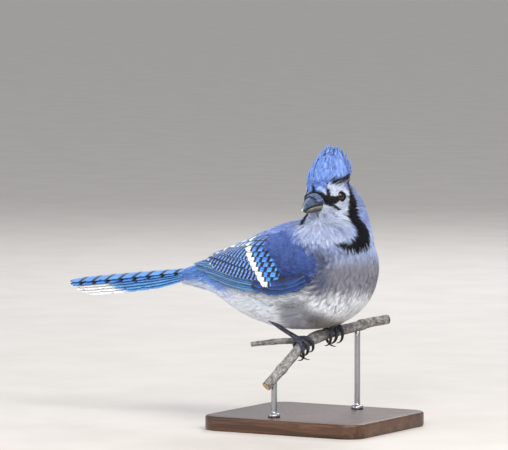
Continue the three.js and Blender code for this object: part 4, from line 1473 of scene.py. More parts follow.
def fans(
    tufts: Tufts, ground: Ground | None, colour: Callable[[Array], Array], form: BirdForm, seed: int
) -> Shape:
    """Make small feathers, each a fan of tapered barbs that bends along the surface.

    Args:
        tufts: The feathers.
        ground: The surface that they follow, or nothing for straight ones.
        colour: The function that colours points.
        form: The bird's sizes, for the bake map.
        seed: The start of the random differences.

    Returns:
        All the feathers as one shape of closed barbs.
    """
    rng = np.random.default_rng(SEED + seed)
    count, barbs = len(tufts.roots), tufts.barbs
    r, m, e, end_normal = (v[:, None] for v in tufts.shafts(ground, rng))
    place_in_fan = np.linspace(-1, 1, barbs)[None] + rng.normal(0, 0.05, (count, barbs))
    turn = place_in_fan * tufts.splay
    reach = rng.uniform(0.86, 1.08, (count, barbs))
    start_share = 0.04 + 0.42 * (1 - np.abs(place_in_fan)) * np.ones((count, 1))
    end_share = np.clip((0.56 + 0.44 * np.cos(turn)) * reach, 0.1, 1.15)
    wide = np.sin(turn) * tufts.width[:, None] / 2 * reach
    rows = []
    for share, out in (
        (start_share, wide * 0.0), ((start_share + end_share) / 2, wide * 0.68), (end_share, wide)
    ):
        s = share[..., None]
        place = r * (1 - s) * (1 - 2 * s) + m * 4 * s * (1 - s) + e * s * (2 * s - 1)
        along = unit(r * (4 * s - 3) + m * (4 - 8 * s) + e * (4 * s - 1))
        normal = unit(mixed(tufts.normals[:, None], end_normal, share))
        droop = out**2 / np.maximum(tufts.width[:, None], 1) * 0.10
        rows.append((place + across(normal, along) * out[..., None] - normal * droop[..., None], normal))
    (first, n0), (second, n1), (tip, _) = rows
    run = unit(tip - first)
    half = tufts.thick / 2 * rng.uniform(0.75, 1.25, (count, barbs, 1))
    points = []
    for place, normal, size in ((first, n0, 0.8), (second, n1, 1.0)):
        side = across(normal, run)
        points += [place - side * half * size, place + side * half * size, place + normal * half * size * 1.3]
    points = np.stack([*points, tip], axis=2).reshape(-1, 3)
    total = count * barbs
    faces = (BARB[None] + np.arange(total)[:, None, None] * 7).reshape(-1, 3)
    seen = (second * 0.45 + tip * 0.55).reshape(-1, 3)
    shades = colour(seen) * rng.uniform(0.95, 1.05, (count, 1, 1)).repeat(barbs, 1).reshape(-1, 1)
    shades = shades * rng.uniform(0.95, 1.05, (total, 1))
    # Painted shade and light: each barb is darker towards its root, where the feathers over it shade it, and
    # a little lighter at its tip
    depth = np.array([tufts.root_shade] * 3 + [0.25 * tufts.root_shade + 0.75] * 3 + [1.03])
    colours = (shades[:, None] * depth[None, :, None]).reshape(-1, 3)
    patch = form.unwrapped(tufts.roots)[:, None, None] + rng.uniform(-0.0015, 0.0015, (count, barbs, 7, 2))
    return Shape(points, [faces], np.clip(colours, 0, 1), {BAKE_MAP: patch.reshape(-1, 2)}).outwards()


@dataclass
class Coat:
    """The body feathers, laid over the skin in the pieces of their regions."""

    form: BirdForm
    plumage: Plumage
    ground: Ground
    wing_outline: tuple[tuple[float, float], ...] = (
        (-81, 51), (-61, 46), (-45, 42), (-28, 38.5), (-13, 35), (-5, 35), (3, 36), (11, 38.5), (16, 44),
        (19, 51),
        (20, 58), (17, 68), (8, 72), (-10, 73), (-30, 69), (-50, 62), (-66, 57),
    )
    wing_margin: float = 5.0
    tried: int = 120000
    eye_clear: float = 3.15
    lid_reach: float = 3.1

    def flow(self, points: Array) -> Array:
        """Return the direction in which the feathers lie.

        Args:
            points: The points, one in each row.

        Returns:
            Unit directions, one in each row.
        """
        bill = self.form.head_point(15.0, 0.0, -2.0)
        f, _, u = self.form.in_head(points)
        fan = unit(points - bill)
        fan = (
            fan + np.outer(ease(4, 12, u) * 0.55, self.form.up)
            - np.outer(ease(0, 10, f) * 0.1, self.form.forward)
        )
        front = ease(2, 38, points[:, 0])[:, None]
        body = np.array([-1.0, 0.0, -0.12]) * (1 - front) + np.array([-0.4, 0.0, -1.0]) * front
        return unit(mixed(body, unit(fan), 1 - ease(26, 50, np.linalg.norm(points - bill, axis=1))))

    def wing_edge(self, points: Array) -> Array:
        """Return how far points are inside the outline of the folded wing, or outside it where negative.

        Args:
            points: The points, one in each row.

        Returns:
            Each point's distance in mm.
        """
        corners = np.array(self.wing_outline)
        x, z = points[:, 0], points[:, 2]
        inside, nearest = np.zeros(len(points), bool), np.full(len(points), 1e9)
        for (ax, az), (bx, bz) in zip(corners, np.roll(corners, -1, axis=0)):
            inside ^= ((az > z) != (bz > z)) & (x < (bx - ax) * (z - az) / (bz - az + 1e-9) + ax)
            t = np.clip(
                ((x - ax) * (bx - ax) + (z - az) * (bz - az)) / ((bx - ax) ** 2 + (bz - az) ** 2), 0, 1
            )
            nearest = np.minimum(nearest, np.hypot(x - ax - t * (bx - ax), z - az - t * (bz - az)))
        return np.where(inside, nearest, -nearest)

    def eye_reach(self, points: Array) -> Array:
        """Return how far points are from the line in which the nearer eye looks."""
        best = np.full(len(points), 99.0)
        for side in SIDES.values():
            away, out = points - self.form.eye_centre(side), self.form.eye_out(side)
            ahead = away @ out
            ring = np.linalg.norm(away - np.outer(ahead, out), axis=1)
            best = np.where(ahead > -1.0, np.minimum(best, ring), best)
        return best

    def places(self, rng: np.random.Generator) -> tuple[Array, ...]:
        """Pick the feathers' roots, clear of the wings, eyes, bill and crest.

        Args:
            rng: The source of chance.

        Returns:
            The roots, the surface's directions there, and how much each is on the head and on the face.
        """
        points, normals = self.ground.scatter(self.tried, rng)
        f, l, u = self.form.in_head(points)
        head = 1 - ease(15, 34, np.sqrt(f**2 + l**2 + (u * np.where(u > 0, 0.7, 1.0)) ** 2))
        face = 1 - ease(12, 19, np.sqrt((f - 6) ** 2 + l**2 + (u * 0.9) ** 2))
        keep = ~((self.wing_edge(points) > self.wing_margin) & (np.abs(points[:, 1]) > 6))
        keep &= self.eye_reach(points) > self.eye_clear
        keep &= ~((f > 13.0) & (np.abs(l) < 6.0) & (u < 4.5) & (u > -8.0))
        keep &= ~((u > 22) & (np.abs(l) < 20))
        centre, radius = self.form.foot_room
        keep &= np.linalg.norm(points - np.array(centre), axis=1) > radius + 0.4
        points, normals, head, face = (v[keep] for v in (points, normals, head, face))
        chosen = thinned(points, 2.2 - 0.8 * head - 0.35 * face)
        return tuple(v[chosen] for v in (points, normals, head, face))

    def lay(self) -> dict[Region, Tufts]:
        """Return the tufts of each region."""
        rng = np.random.default_rng(SEED)
        points, normals, head, face = self.places(rng)
        x, _, z = points.T
        belly = 1 - ease(12, 30, z)
        length = 11.5 + 2.0 * belly - 5.8 * head - 1.9 * face
        width = 5.0 - 2.2 * head - 1.0 * face + 0.6 * belly
        lift = 0.55 + 0.15 * head - 0.15 * face + 0.3 * belly
        flow = unit(self.flow(points) + rng.normal(0, 0.085, points.shape))
        f, l, u = self.form.in_head(points)
        # The nape's feathers and those of the far side of the cap stand off more
        nape = ease(6, 12, -f) * (1 - ease(13, 17, u)) * ease(3, 8, u) * ease(3, 7, np.abs(l))
        cap = ease(3, 7, -l) * ease(4, 8, u) * ease(-6, 2, f)
        lift, length = lift + 2.4 * nape + 1.6 * cap, length + 2.5 * nape + 1.5 * cap
        # The coverts of the tail's base lie over its quills
        base, below = 1 - ease(-84, -70, x), z < self.form.bottom(x) + 8
        lift, length = lift + 1.2 * base, length + np.where(below, 10.0, 6.0) * base
        # The feathers round a wing's edge lie over it
        outside = -self.wing_edge(points)
        around = (1 - ease(6.0, 10.0, outside)) * ease(0.0, 0.5, outside) * (1 - head)
        front, above = ease(8, 16, x) * (z > 36) * (1 - ease(58, 64, z)), (z > 60) & (x < 14)
        over = around * np.maximum(front, np.maximum(above * ease(-64, -50, x), 0.75 * ease(-30, -10, x)))
        lift, length = lift + 3.0 * over, length + 3.5 * over
        turned = np.where(above, -0.35, 0.3)[:, None] * over[:, None] * np.array([0.0, 0.0, 1.0])
        flow = unit(flow + turned + (front * around)[:, None] * np.array([-1.6, 0.0, 0.25]))
        # Those in front of an eye end at its lids
        start, end = self.eye_reach(points), self.eye_reach(points + flow * length[:, None])
        left = np.clip((start - self.lid_reach) / np.maximum(start - end, 0.1), 0.3, 1)
        length = np.where(end < self.lid_reach, length * left, length)
        chance = rng.uniform(0.85, 1.15, (3, len(points)))
        whole = Tufts(points, normals, flow, length * chance[0], width * chance[1], lift * chance[2])
        body, ahead = head <= 0.02, x > -8
        regions = {
            Region.HEAD: head > 0.62,
            Region.THROAT: (head <= 0.62) & ~body,
            Region.BREAST: body & (z < 58) & ahead,
            Region.BELLY: body & (z < 50) & ~ahead,
        }
        regions[Region.BACK] = ~np.any(list(regions.values()), axis=0)
        return {region: whole.picked(where, region.barbs, region.thick) for region, where in regions.items()}

    def dress(self) -> None:
        """Make the coat's pieces."""
        finish = material(PlumageFinish("body_feathers"))
        for number, (region, tufts) in enumerate(self.lay().items()):
            shape = fans(tufts, self.ground, self.plumage.colour, self.form, 100 + number)
            dressed(shape.made(f"coat_{region.name.lower()}", finish), region.slot)


Placer = Callable[[Array, Array, Array], Array]
COLUMNS = np.array([-1.0, -0.82, -0.55, -0.26, -0.07, 0.0, 0.07, 0.26, 0.55, 0.82, 1.0])
RIDGE = np.array([0, 0, 0, 0, 0.35, 1.0, 0.35, 0, 0, 0, 0])


def row_shares(rows: int) -> Array:
    """Return the places of a firm feather's rows along it, closer together towards its tip."""
    return 1 - (1 - np.linspace(0, 1, rows)) ** 1.25


@dataclass
class Vane:
    """One firm feather with a quill, a cambered web and slightly split edges.

    Its place function takes a share of the length, a signed distance across and a height. Its cell is the
    column, row and number of cells a side of its place on the bake map. Its shift moves its bars along it.
    """

    place: Placer
    half: Array
    length: float
    cell: tuple[int, int, int]
    thick: float = 0.36
    camber: float = 0.45
    notches: int = 3
    shift: float = 0.0

    def made(self, rng: np.random.Generator) -> Shape:
        """Return the closed shape, with maps of its web in millimetres.

        Args:
            rng: The source of chance.

        Returns:
            The shape.
        """
        half, rows, columns = self.half, len(self.half), len(COLUMNS)
        c = np.tile(COLUMNS, (rows, 1))
        for edge in (0, -1):
            c[:, edge] *= 1 - rng.uniform(0, 0.05, rows)
            for row in rng.integers(rows // 4, rows - 2, self.notches):
                c[row, edge] *= rng.uniform(0.72, 0.9)
        out, flat = c * half[:, None], 1 - c**2
        t = np.repeat(row_shares(rows)[:, None], columns, axis=1)
        body = self.camber * flat * (half / half.max())[:, None]
        skin = self.thick / 2 * (0.35 + 0.65 * flat)
        top = self.place(t, out, body + skin + RIDGE * 0.28 * (1 - t[:, :1]) ** 0.5)
        points = np.r_[top.reshape(-1, 3), self.place(t, out, body - skin).reshape(-1, 3)]
        index = np.arange(rows * columns).reshape(rows, columns)
        under = index + rows * columns
        faces = [cells(index), cells(under, swapped=True)]
        for edge, swapped in (((slice(None), 0), True), ((slice(None), -1), False), (0, False), (-1, True)):
            faces.append(cells(np.stack([index[edge], under[edge]], axis=1), swapped))
        web = np.stack([out, (1 - t) * self.length], axis=-1).reshape(-1, 2)
        size = np.stack(
            [np.repeat(half[:, None], columns, 1), np.full_like(t, self.length)], axis=-1
        ).reshape(-1, 2)
        local = np.stack([(c + 1) / 2, t], axis=-1).reshape(-1, 2) * 0.9 + 0.05
        upper = (local + self.cell[:2]) / self.cell[2] * (0.5, 1.0)
        maps = {"Web": np.r_[web, web], "Size": np.r_[size, size], BAKE_MAP: np.r_[upper, upper + (0.5, 0.0)]}
        values = {"shift": np.full(len(points), self.shift)}
        return Shape(points, [np.concatenate(faces)], maps=maps, values=values).outwards()


@dataclass(frozen=True)
class Tier:
    """One row of the wing's feathers, from its first to its last: roots and tips on the body's side."""

    name: str
    count: int
    roots: tuple[tuple[float, float], tuple[float, float]]
    tips: tuple[tuple[float, float], tuple[float, float]]
    half: float
    lift: tuple[float, float]
    finish: VaneFinish
    long: tuple[float, float] | None = None
    bow: float = 0.0
    rows: int = 26
    stagger: float = 0.0
    stack: float = 0.0
    narrow: float = 1.0


WING_TIERS = (
    Tier("primaries", 9, ((-6, 38.5), (-20, 45)), ((-58, 41.6), (-82, 50)), 4.6, (0.2, 0.6),
         VaneFinish(
             "primary_web", "4280b4", "2f6498", "78a4d4", dark_inside=0.9, rim=0.85, lines=1.25, roughness=0.4
         ),
         long=(-92, 46.0), bow=-3, rows=40, stack=0.1),
    Tier("secondaries", 12, ((-16, 43), (-26, 58)), ((-70, 46.5), (-66, 57)), 4.6, (1.3, 1.9),
         VaneFinish("secondary_web", "6f9bea", "5580d8", "86b8f6", bar_step=3.6, bar_share=0.54,
                    bar_slant=0.2, white=2.2, dark_inside=0.6, rim=0.6),
         long=(-82, 51.5), bow=-3, rows=44, stagger=0.5, stack=0.09, narrow=0.36),
    Tier("tertials", 4, ((-28, 59), (-35, 69.5)), ((-76, 53), (-54, 62.5)), 5.2, (1.4, 2.6),
         VaneFinish(
             "tertial_web", "9cc8f0", "78aee8", "eef6fc", bar_step=5.2, bar_share=0.36, bar_slant=0.2,
             white=5.0
         ),
         rows=36, stagger=0.4, stack=0.15, narrow=0.6),
    Tier("primary_coverts", 4, ((0, 36.8), (0, 42)), ((-30, 37.6), (-27, 43)), 3.0, (1.6, 1.5),
         VaneFinish("primary_covert_web", "1f3c80", "142654", "3466b0"), rows=20),
    Tier("greater_coverts", 10, ((-1, 41.5), (-21, 67.5)), ((-20.5, 41.2), (-45, 64.5)), 3.7, (1.7, 3.0),
         VaneFinish("greater_covert_web", "4f9bf0", "3d74d8", "6cb4fa", bar_step=6.3, bar_share=0.42,
                    bar_slant=0.3, white=6.2, before_white=1.9, dark_inside=0.6, rim=0.8),
         rows=30, stack=0.06),
    Tier("alula", 3, ((15, 42.5), (13, 47)), ((-20, 36.4), (-15, 42)), 3.1, (2.2, 2.6),
         VaneFinish("alula_web", "1a3a78", "10264f", "2f64ac", dark_inside=0.6, rim=0.5), bow=-3.5, rows=24),
)


@dataclass
class Wing:
    """A folded wing: tiers of firm feathers draped over the body, and small soft coverts in front of them."""

    form: BirdForm
    side: float
    arm_x: tuple[float, ...] = (-36, -24, -10, 4, 14, 21)
    arm_low: tuple[float, ...] = (58, 44, 38.5, 37, 40, 47.5)
    arm_high: tuple[float, ...] = (66, 72, 74, 72, 67, 58)
    arm_grid: tuple[int, int] = (30, 24)
    pad_depth: float = 2.6
    # Where the barred coverts start: places along the body, and their heights from low to high
    bars_line: tuple[tuple[float, ...], tuple[float, ...]] = (
        (-0.8, -5.1, -10.9, -17.7, -25.7), (43.3, 50.7, 56.6, 61.8, 66.1),
    )
    tilt: float = 0.7
    small_tried: int = 9000

    def over(self, x: Array, angle: Array, lift: Array) -> Array:
        """Return a point of the wing's own surface, raised by a height, and tucked in along the back."""
        stand = 2.1 + 0.6 * ease(24, 44, -x) + 1.2 * ease(60, 88, -x) - 0.6 * ease(8, 21, x)
        tuck = 1 - 0.5 * ease(38, 60, angle)
        return self.form.body_point(x, angle, (stand + lift) * tuck, self.side)

    def placer(self, root: Array, tip: Array, lift: tuple[float, float], bow: float) -> Placer:
        """Return the function that drapes one feather over the wing.

        Args:
            root: Its root, as a place along the body and an angle round it.
            tip: Its tip, likewise.
            lift: Its height at its root and tip.
            bow: How far it bends sideways in between, in degrees.

        Returns:
            The function that a vane places its points with.
        """
        (dx, da), probe = tip - root, 0.1

        def place(share: Array, out: Array, height: Array) -> Array:
            """Return points for shares of the length, distances across and heights.

            Args:
                share: The shares of the length.
                out: The distances across.
                height: The heights over the web.

            Returns:
                The points in the bird's frame.
            """
            x = root[0] + dx * share
            angle = root[1] + da * share + bow * np.sin(math.pi * share)
            here = self.over(x, angle, 0)
            along_x = (self.over(x + probe, angle, 0) - here) * 10
            along_a = (self.over(x, angle + probe, 0) - here) * 10
            turning = tip[1] - root[1] + bow * math.pi * np.cos(math.pi * share)
            along = along_x * dx + along_a * turning[..., None]
            side = across(np.cross(along_x, along_a), along) * out[..., None]
            pairs = (
                (along_x, along_x), (along_x, along_a), (along_a, along_a), (side, along_x), (side, along_a)
            )
            e, f, g, p, q = (np.sum(a * b, axis=-1) for a, b in pairs)
            step_x, step_a = (p * g - q * f) / (e * g - f * f), (q * e - p * f) / (e * g - f * f)
            slope = self.tilt * np.sign(step_a) * np.abs(out) / (np.abs(out).max() + 1e-6)
            return self.over(
                x + step_x, angle + step_a, lift[0] + (lift[1] - lift[0]) * share - slope + height
            )

        return place

    def tier(self, tier: Tier, seed: int) -> Shape:
        """Make the feathers of one tier.

        Args:
            tier: The tier's measures.
            seed: Its own seed.

        Returns:
            The feathers as one shape.
        """
        rng = np.random.default_rng(SEED + seed)
        profile = curve_through((0, 0.25, 0.6, 0.8, 0.92, 0.98, 1), (0.62, 0.9, 1, 0.95, 0.72, 0.4, 0.12))
        side_cells = math.ceil(math.sqrt(tier.count * 2))
        shapes = []
        for k in range(tier.count):
            t = k / (tier.count - 1)
            root, tip = (
                np.array(ends[0]) * (1 - t) + np.array(ends[1]) * t for ends in (tier.roots, tier.tips)
            )
            if tier.long:
                reach = math.sin(math.pi * min(t * 1.15, 1))
                tip = tip + (np.array(tier.long) - tip) * reach * np.array([1.0, 0.5])
            tip = tip + rng.normal(0, 0.35, 2)
            root[1], tip[1] = self.form.angle_at(*root), self.form.angle_at(*tip)
            lift = (tier.lift[0] + tier.stack * k, tier.lift[1] + tier.stack * k)
            place = self.placer(root, tip, lift, tier.bow)
            ends = place(np.array([0.0, 1.0]), np.zeros(2), np.zeros(2))
            narrow = tier.narrow + (1 - tier.narrow) * min(1.0, 2.2 * t)
            half = tier.half * profile(row_shares(tier.rows)) * rng.uniform(0.95, 1.05) * narrow
            shift = rng.normal(0, 0.06)
            if tier.stagger:
                shift += tier.stagger * (k % 2) + tip[0] / tier.finish.bar_step
            cell = (k % side_cells, k // side_cells, side_cells)
            shapes.append(
                Vane(place, half, float(np.linalg.norm(ends[1] - ends[0])), cell, shift=shift).made(rng)
            )
        return joined(shapes)

    def arm(self, wide: float = 0.0) -> Shape:
        """Return the outer surface of the feathered arm, which may go past its rear edge, as a grid.

        Args:
            wide: How far it goes past the rear edge, in mm.

        Returns:
            The surface as one shape.
        """
        rows, columns = self.arm_grid
        xs = np.linspace(self.arm_x[0] - wide, self.arm_x[-1], rows)
        first, last = (self.form.angle_at(xs, f(xs)) for f in curves(self.arm_x, self.arm_low, self.arm_high))
        t = np.linspace(0, 1, columns)
        end = np.clip(np.minimum(np.arange(rows), rows - 1 - np.arange(rows)) / 6, 0.0, 1)[:, None]
        bulge = end * (0.4 + 2.2 * np.sin(math.pi * t)[None])
        points = self.over(xs[:, None], first[:, None] + (last - first)[:, None] * t, bulge).reshape(-1, 3)
        quads = cells(np.arange(rows * columns).reshape(rows, columns), swapped=True)
        shape = Shape(points, [np.concatenate([quads[:, [0, 1, 2]], quads[:, [0, 2, 3]]])])
        if np.mean(point_normals(shape)[:, 1]) * self.side < 0:
            shape.faces = [shape.faces[0][:, ::-1]]
        return shape

    def pad(self) -> Shape:
        """Return the arm as a closed, coloured pad under its small feathers."""
        outer = self.arm()
        points, faces, count = outer.points, outer.faces[0], len(outer.points)
        index = np.arange(count).reshape(self.arm_grid)
        rim = np.r_[index[0], index[1:, -1], index[-1, -2::-1], index[-2:0:-1, 0]]
        after = np.roll(rim, -1)
        edges = {(int(f[i]), int(f[(i + 1) % 3])) for f in faces for i in range(3)}
        if (int(rim[0]), int(after[0])) in edges:
            rim, after = after, rim
        wall = [np.stack([rim, after, after + count], 1), np.stack([rim, after + count, rim + count], 1)]
        inner = points - point_normals(outer) * self.pad_depth
        shape = Shape(
            np.r_[points, inner], [np.concatenate([faces, faces[:, ::-1] + count, *wall])]
        ).outwards()
        shape.colours, shape.maps[BAKE_MAP] = self.colour(shape.points), self.form.unwrapped(shape.points)
        return shape

    def colour(self, points: Array) -> Array:
        """Return the violet-blue of the small coverts, deeper towards the wing's lower front edge."""
        z, cloud, fine = points[:, 2], ripple(points, 14.0, 11), ripple(points, 3.0, 12)
        return layered(
            "213e80", len(points), ("566eae", ease(38, 72, z) * 0.85 + 0.08 * cloud),
            ("163066", (1 - ease(37, 54, z)) * 0.85), ("7488c4", ease(0.2, 1.0, fine) * 0.25),
        )

    def coverts(self, seed: int) -> Shape:
        """Make the small soft coverts in front of the barred ones.

        Args:
            seed: Their own seed.

        Returns:
            The coverts as one shape.
        """
        rng = np.random.default_rng(SEED + seed)
        surface = Ground(self.arm(wide=14.0))
        points, normals = surface.scatter(self.small_tried, rng)
        behind, high = self.bars_line
        past = points[:, 0] - np.interp(points[:, 2], high, behind) - 7.0
        points, normals, past = (v[past > 0] for v in (points, normals, past))
        chosen = thinned(points, np.full(len(points), 1.9))
        points, normals, near = points[chosen], normals[chosen], ease(0, 14, past[chosen])
        flow = np.array([-1.0, 0.0, -0.28]) + rng.normal(0, 0.06, points.shape)
        size = rng.uniform(0.9, 1.1, (3, len(points)))
        sizes = ((8.2 - 1.2 * near) * size[0], 5.2 * size[1], 0.5 * size[2])
        tufts = Tufts(points, normals, flow, *sizes, barbs=17, thick=0.28, root_shade=0.95)
        return fans(tufts, surface, self.colour, self.form, seed)

    def dress(self) -> None:
        """Make the wing's pieces."""
        label = "wing_left" if self.side > 0 else "wing_right"
        layers = {tier.name: (self.tier(tier, 200 + k), tier.finish) for k, tier in enumerate(WING_TIERS)}
        layers["arm"] = (self.pad(), PlumageFinish("wing_down", roughness=0.7))
        layers["coverts"] = (self.coverts(230), PlumageFinish("wing_coverts", streak=0.12))
        for name, (shape, finish) in layers.items():
            dressed(shape.made(f"{label}_{name}", material(finish)), "wing_feathers", label)


@dataclass
class Tail:
    """Twelve long feathers stacked like a closed fan."""

    form: BirdForm
    root_x: float = -80.0
    pitch: float = -6.6
    roll: float = 15.0
    length: float = 119.0
    root_back: float = 3.0
    half: float = 7.0
    pairs: int = 6
    rows: int = 64

    def __post_init__(self) -> None:
        """Work out the tail's own frame."""
        bottom, top = float(self.form.bottom(self.root_x)), float(self.form.top(self.root_x))
        pitch, roll = math.radians(self.pitch), math.radians(self.roll)
        self.turn = np.array(Matrix.Rotation(pitch, 3, "Y") @ Matrix.Rotation(roll, 3, "X"))
        self.origin = np.array([self.root_x, 0.0, bottom + (top - bottom) * 0.72])

    def feather(self, rank: int, side: float) -> Shape:
        """Make one feather.

        Args:
            rank: 0 for the middle pair, up to 5 for the outermost.
            side: 1 for the left, or -1 for the right.

        Returns:
            Its shape.
        """
        rng = np.random.default_rng(SEED + 300 + 10 * rank + int(side))
        length = self.length - 0.62 * rank**2 - self.root_back
        level = rank + (0.0 if side < 0 else 0.5)
        profile = curve_through((0, 0.3, 0.62, 0.9, 0.96, 0.99, 1), (0.5, 0.75, 0.95, 0.86, 0.66, 0.4, 0.14))
        bend = rng.normal(0, 0.25)

        def place(t: Array, out: Array, height: Array) -> Array:
            """Return points for shares of the length, distances across and heights.

            Args:
                t: The shares of the length.
                out: The distances across.
                height: The heights over the web.

            Returns:
                The points in the bird's frame.
            """
            middle = side * ((0.5 + 0.7 * t) * rank + 0.2 + 1.4 * t) + bend * t * t
            drop = -(0.5 + 1.0 * ease(0, 1, 2.2 * t)) * level
            # The quill lies off the middle of the web: the outer side is narrower
            shift = out * np.where(out * side > 0, 0.86, 1.1) if rank > 1 else out
            up = drop - 0.05 * rank * side * out + height
            local = np.stack(np.broadcast_arrays(-(self.root_back + length * t), middle + shift, up), axis=-1)
            return local @ self.turn.T + self.origin

        cell, half = (rank, 0 if side < 0 else 1, self.pairs), self.half * profile(row_shares(self.rows))
        return Vane(place, half, length, cell, thick=0.34, camber=0.4, notches=4).made(rng)

    def dress(self) -> None:
        """Make the tail's pieces: the barred middle pairs, and the pale-tipped pairs under them."""
        middle = VaneFinish(
            "tail_middle_web", "62a6ec", "4a8ee0", "90caf8", bar_step=11.2, bar_share=0.3, bar_slant=0.08
        )
        outer = VaneFinish(
            "tail_outer_web", "6ba6da", "4f8ecb", "92c2e8", white=33.0, white_soft=5.0, rim=0.15
        )
        for name, finish, ranks in (("middle", middle, range(2)), ("outer", outer, range(2, self.pairs))):
            shape = joined([self.feather(rank, side) for rank in ranks for side in (-1.0, 1.0)])
            dressed(shape.made(f"tail_{name}", material(finish)), "tail_feathers", "tail")


@dataclass
class Crest:
    """The raised crest: long narrow feathers in tiers that grow from the cap, their tips free."""

    form: BirdForm
    ground: Ground
    tiers: tuple[tuple[int, float, float, float, float], ...] = (
        # Feathers, height of the roots, length, width, and how far the tips stand off
        (46, 9.0, 8.0, 2.8, 0.5), (46, 11.5, 9.5, 2.8, 0.6), (46, 14.0, 11.5, 2.8, 0.7),
        (44, 16.5, 13.0, 2.9, 0.8),
        (40, 19.0, 14.0, 2.9, 0.8), (34, 21.5, 13.5, 2.8, 0.9), (28, 24.0, 11.5, 2.6, 0.9),
        (22, 26.5, 9.0, 2.4, 0.9),
        (16, 29.0, 7.0, 2.2, 0.8), (10, 31.5, 4.8, 1.9, 0.7),
    )
    # The tips of its separate locks, forward, left and up from the head's middle
    locks: tuple[tuple[float, float, float], ...] = (
        (-9.0, -1.7, 37.6), (-13.0, 2.3, 37.4), (-15.5, 4.6, 34.8), (-16.5, 7.2, 31.6), (-17.5, 9.4, 29.0),
        (-17.5, 11.4, 25.8), (-18.0, 11.6, 21.6), (-20.0, 7.0, 27.0), (-20.5, 2.0, 30.5), (-19.0, -4.0, 29.0),
        (-22.0, 4.0, 22.0), (-14.0, 10.8, 25.0), (-13.0, 9.2, 29.0), (-13.0, 11.2, 21.0),
    )
    strands: int = 15
    # The black hairs over each brow: rows, and how many there are in each
    brow: tuple[int, int] = (2, 17)

    def __post_init__(self) -> None:
        """Join the skin and the crest's form, up to its tip, in one surface."""
        up, skin = self.form.crest_up, self.ground
        core = in_triangles(self.form.crest_form(up[0] - 3, up[-1], 30, 48))
        triangles = np.concatenate([skin.faces, core.faces[0] + len(skin.shape.points)])
        self.surface = Ground(Shape(np.concatenate([skin.shape.points, core.points]), [triangles]))

    def colour(self, points: Array) -> Array:
        """Return lavender-blue with paler and more violet streaks along the feathers."""
        f, l, u = self.form.in_head(points)
        streak, cloud = ripple(np.stack([f, l, u * 0.12], axis=1), 3.0, 21), ripple(points, 12.0, 22)
        return layered(
            "769adf", len(points), ("b0c3f2", ease(0.1, 1.0, streak) * 0.6),
            ("6080d4", ease(0.1, 1.0, -streak) * 0.6),
            ("a4bcf6", ease(0.0, 1.0, cloud) * 0.3),
        )

    def black(self, points: Array) -> Array:
        """Return the black of the brow's hairs."""
        return layered("0c0e16", len(points))

    def tier(self, number: int) -> Shape:
        """Make one tier of feathers, rooted round the cap and crest.

        Args:
            number: The tier's number, from the front.

        Returns:
            The feathers as one shape.
        """
        count, low, length, width, lift = self.tiers[number]
        rng = np.random.default_rng(SEED + 400 + number)
        angle = (np.arange(count) + 0.5 * (number % 2) + rng.normal(0, 0.2, count)) * 360 / count
        around = np.minimum(angle % 360, 360 - angle % 360)
        # The crown's lowest feathers start just over the bill's band, and higher over the brow and nape
        ups = low + rng.normal(0, 1.3 if low < 15 else 0.7, count)
        ups += (2.6 + 1.6 * ease(20, 60, around) + 2.0 * ease(80, 150, around)) * (low < 13)
        size = rng.uniform(0.78, 1.15, (2, count))
        far = ease(170, 240, angle % 360) * (1 - ease(325, 350, angle % 360))
        away = lift + (1.0 * ease(60, 150, around) + 1.8 * far) * size[1]
        roots, normals = self.surface.nearest(self.form.crest_point(ups, angle, 1.5))
        flow = unit(self.form.crest_point(np.minimum(ups + 6, 37), angle, -0.8) - roots)
        sizes = (length * size[0], width * size[1], away)
        tufts = Tufts(roots, normals, flow, *sizes, thick=0.24, bed=0.1, splay=1.2, root_shade=0.96)
        return fans(tufts, self.surface, self.colour, self.form, 420 + number)

    def loose_locks(self) -> Shape:
        """Make the separate locks, whose strands reach straight out to their tips."""
        rng = np.random.default_rng(SEED + 440)
        tips = self.form.head_point(*np.repeat(np.array(self.locks), self.strands, axis=0).T)
        tips = tips + rng.normal(0, 0.8, tips.shape) - np.outer(rng.uniform(0, 3.5, len(tips)), self.form.up)
        drop = self.form.in_head(tips)[2] * rng.uniform(0.22, 0.4, len(tips))
        roots, normals = self.surface.nearest(tips - np.outer(drop, self.form.up))
        reach = np.linalg.norm(tips - roots, axis=1)
        sizes = (reach, rng.uniform(2.0, 2.8, len(tips)), 0 * reach)
        tufts = Tufts(
            roots, normals, unit(tips - roots), *sizes, thick=0.24, bed=0.1, splay=1.1, root_shade=0.96
        )
        return fans(tufts, None, self.colour, self.form, 440)

    def brow_hairs(self) -> Shape:
        """Make the narrow black feathers that slant up along the cap's edge over both eyes."""
        rng = np.random.default_rng(SEED + 450)
        rows, each = self.brow
        angle = np.tile(np.linspace(40, 138, each), 2 * rows) + rng.normal(0, 2.0, 2 * rows * each)
        side = np.repeat([-1.0, 1.0], rows * each)
        row = np.tile(np.repeat(np.arange(rows), each), 2)
        ups = 10.8 + 2.4 * ease(56, 95, angle) + 1.8 * row + rng.normal(0, 0.4, len(angle))
        roots, normals = self.surface.nearest(self.form.crest_point(ups, side * angle, 0.6))
        flow = self.form.up * 0.6 - self.form.forward + rng.normal(0, 0.06, roots.shape)
        sizes = (
            rng.uniform(4.5, 6.5, len(angle)), rng.uniform(0.7, 1.1, len(angle)), np.where(side > 0, 2.1, 0.6)
        )
        tufts = Tufts(roots, normals, flow, *sizes, barbs=6, thick=0.3, bed=0.3, splay=0.9, root_shade=1.0)
        return fans(tufts, self.surface, self.black, self.form, 450)

    def dress(self) -> None:
        """Make the crest's piece."""
        shape = joined(
            [*(self.tier(k) for k in range(len(self.tiers))), self.loose_locks(), self.brow_hairs()]
        )
        finish = material(PlumageFinish("crest_sheen", roughness=0.55, streak=0.12))
        dressed(shape.made("crest_feathers", finish), "crest_feathers", "crest")


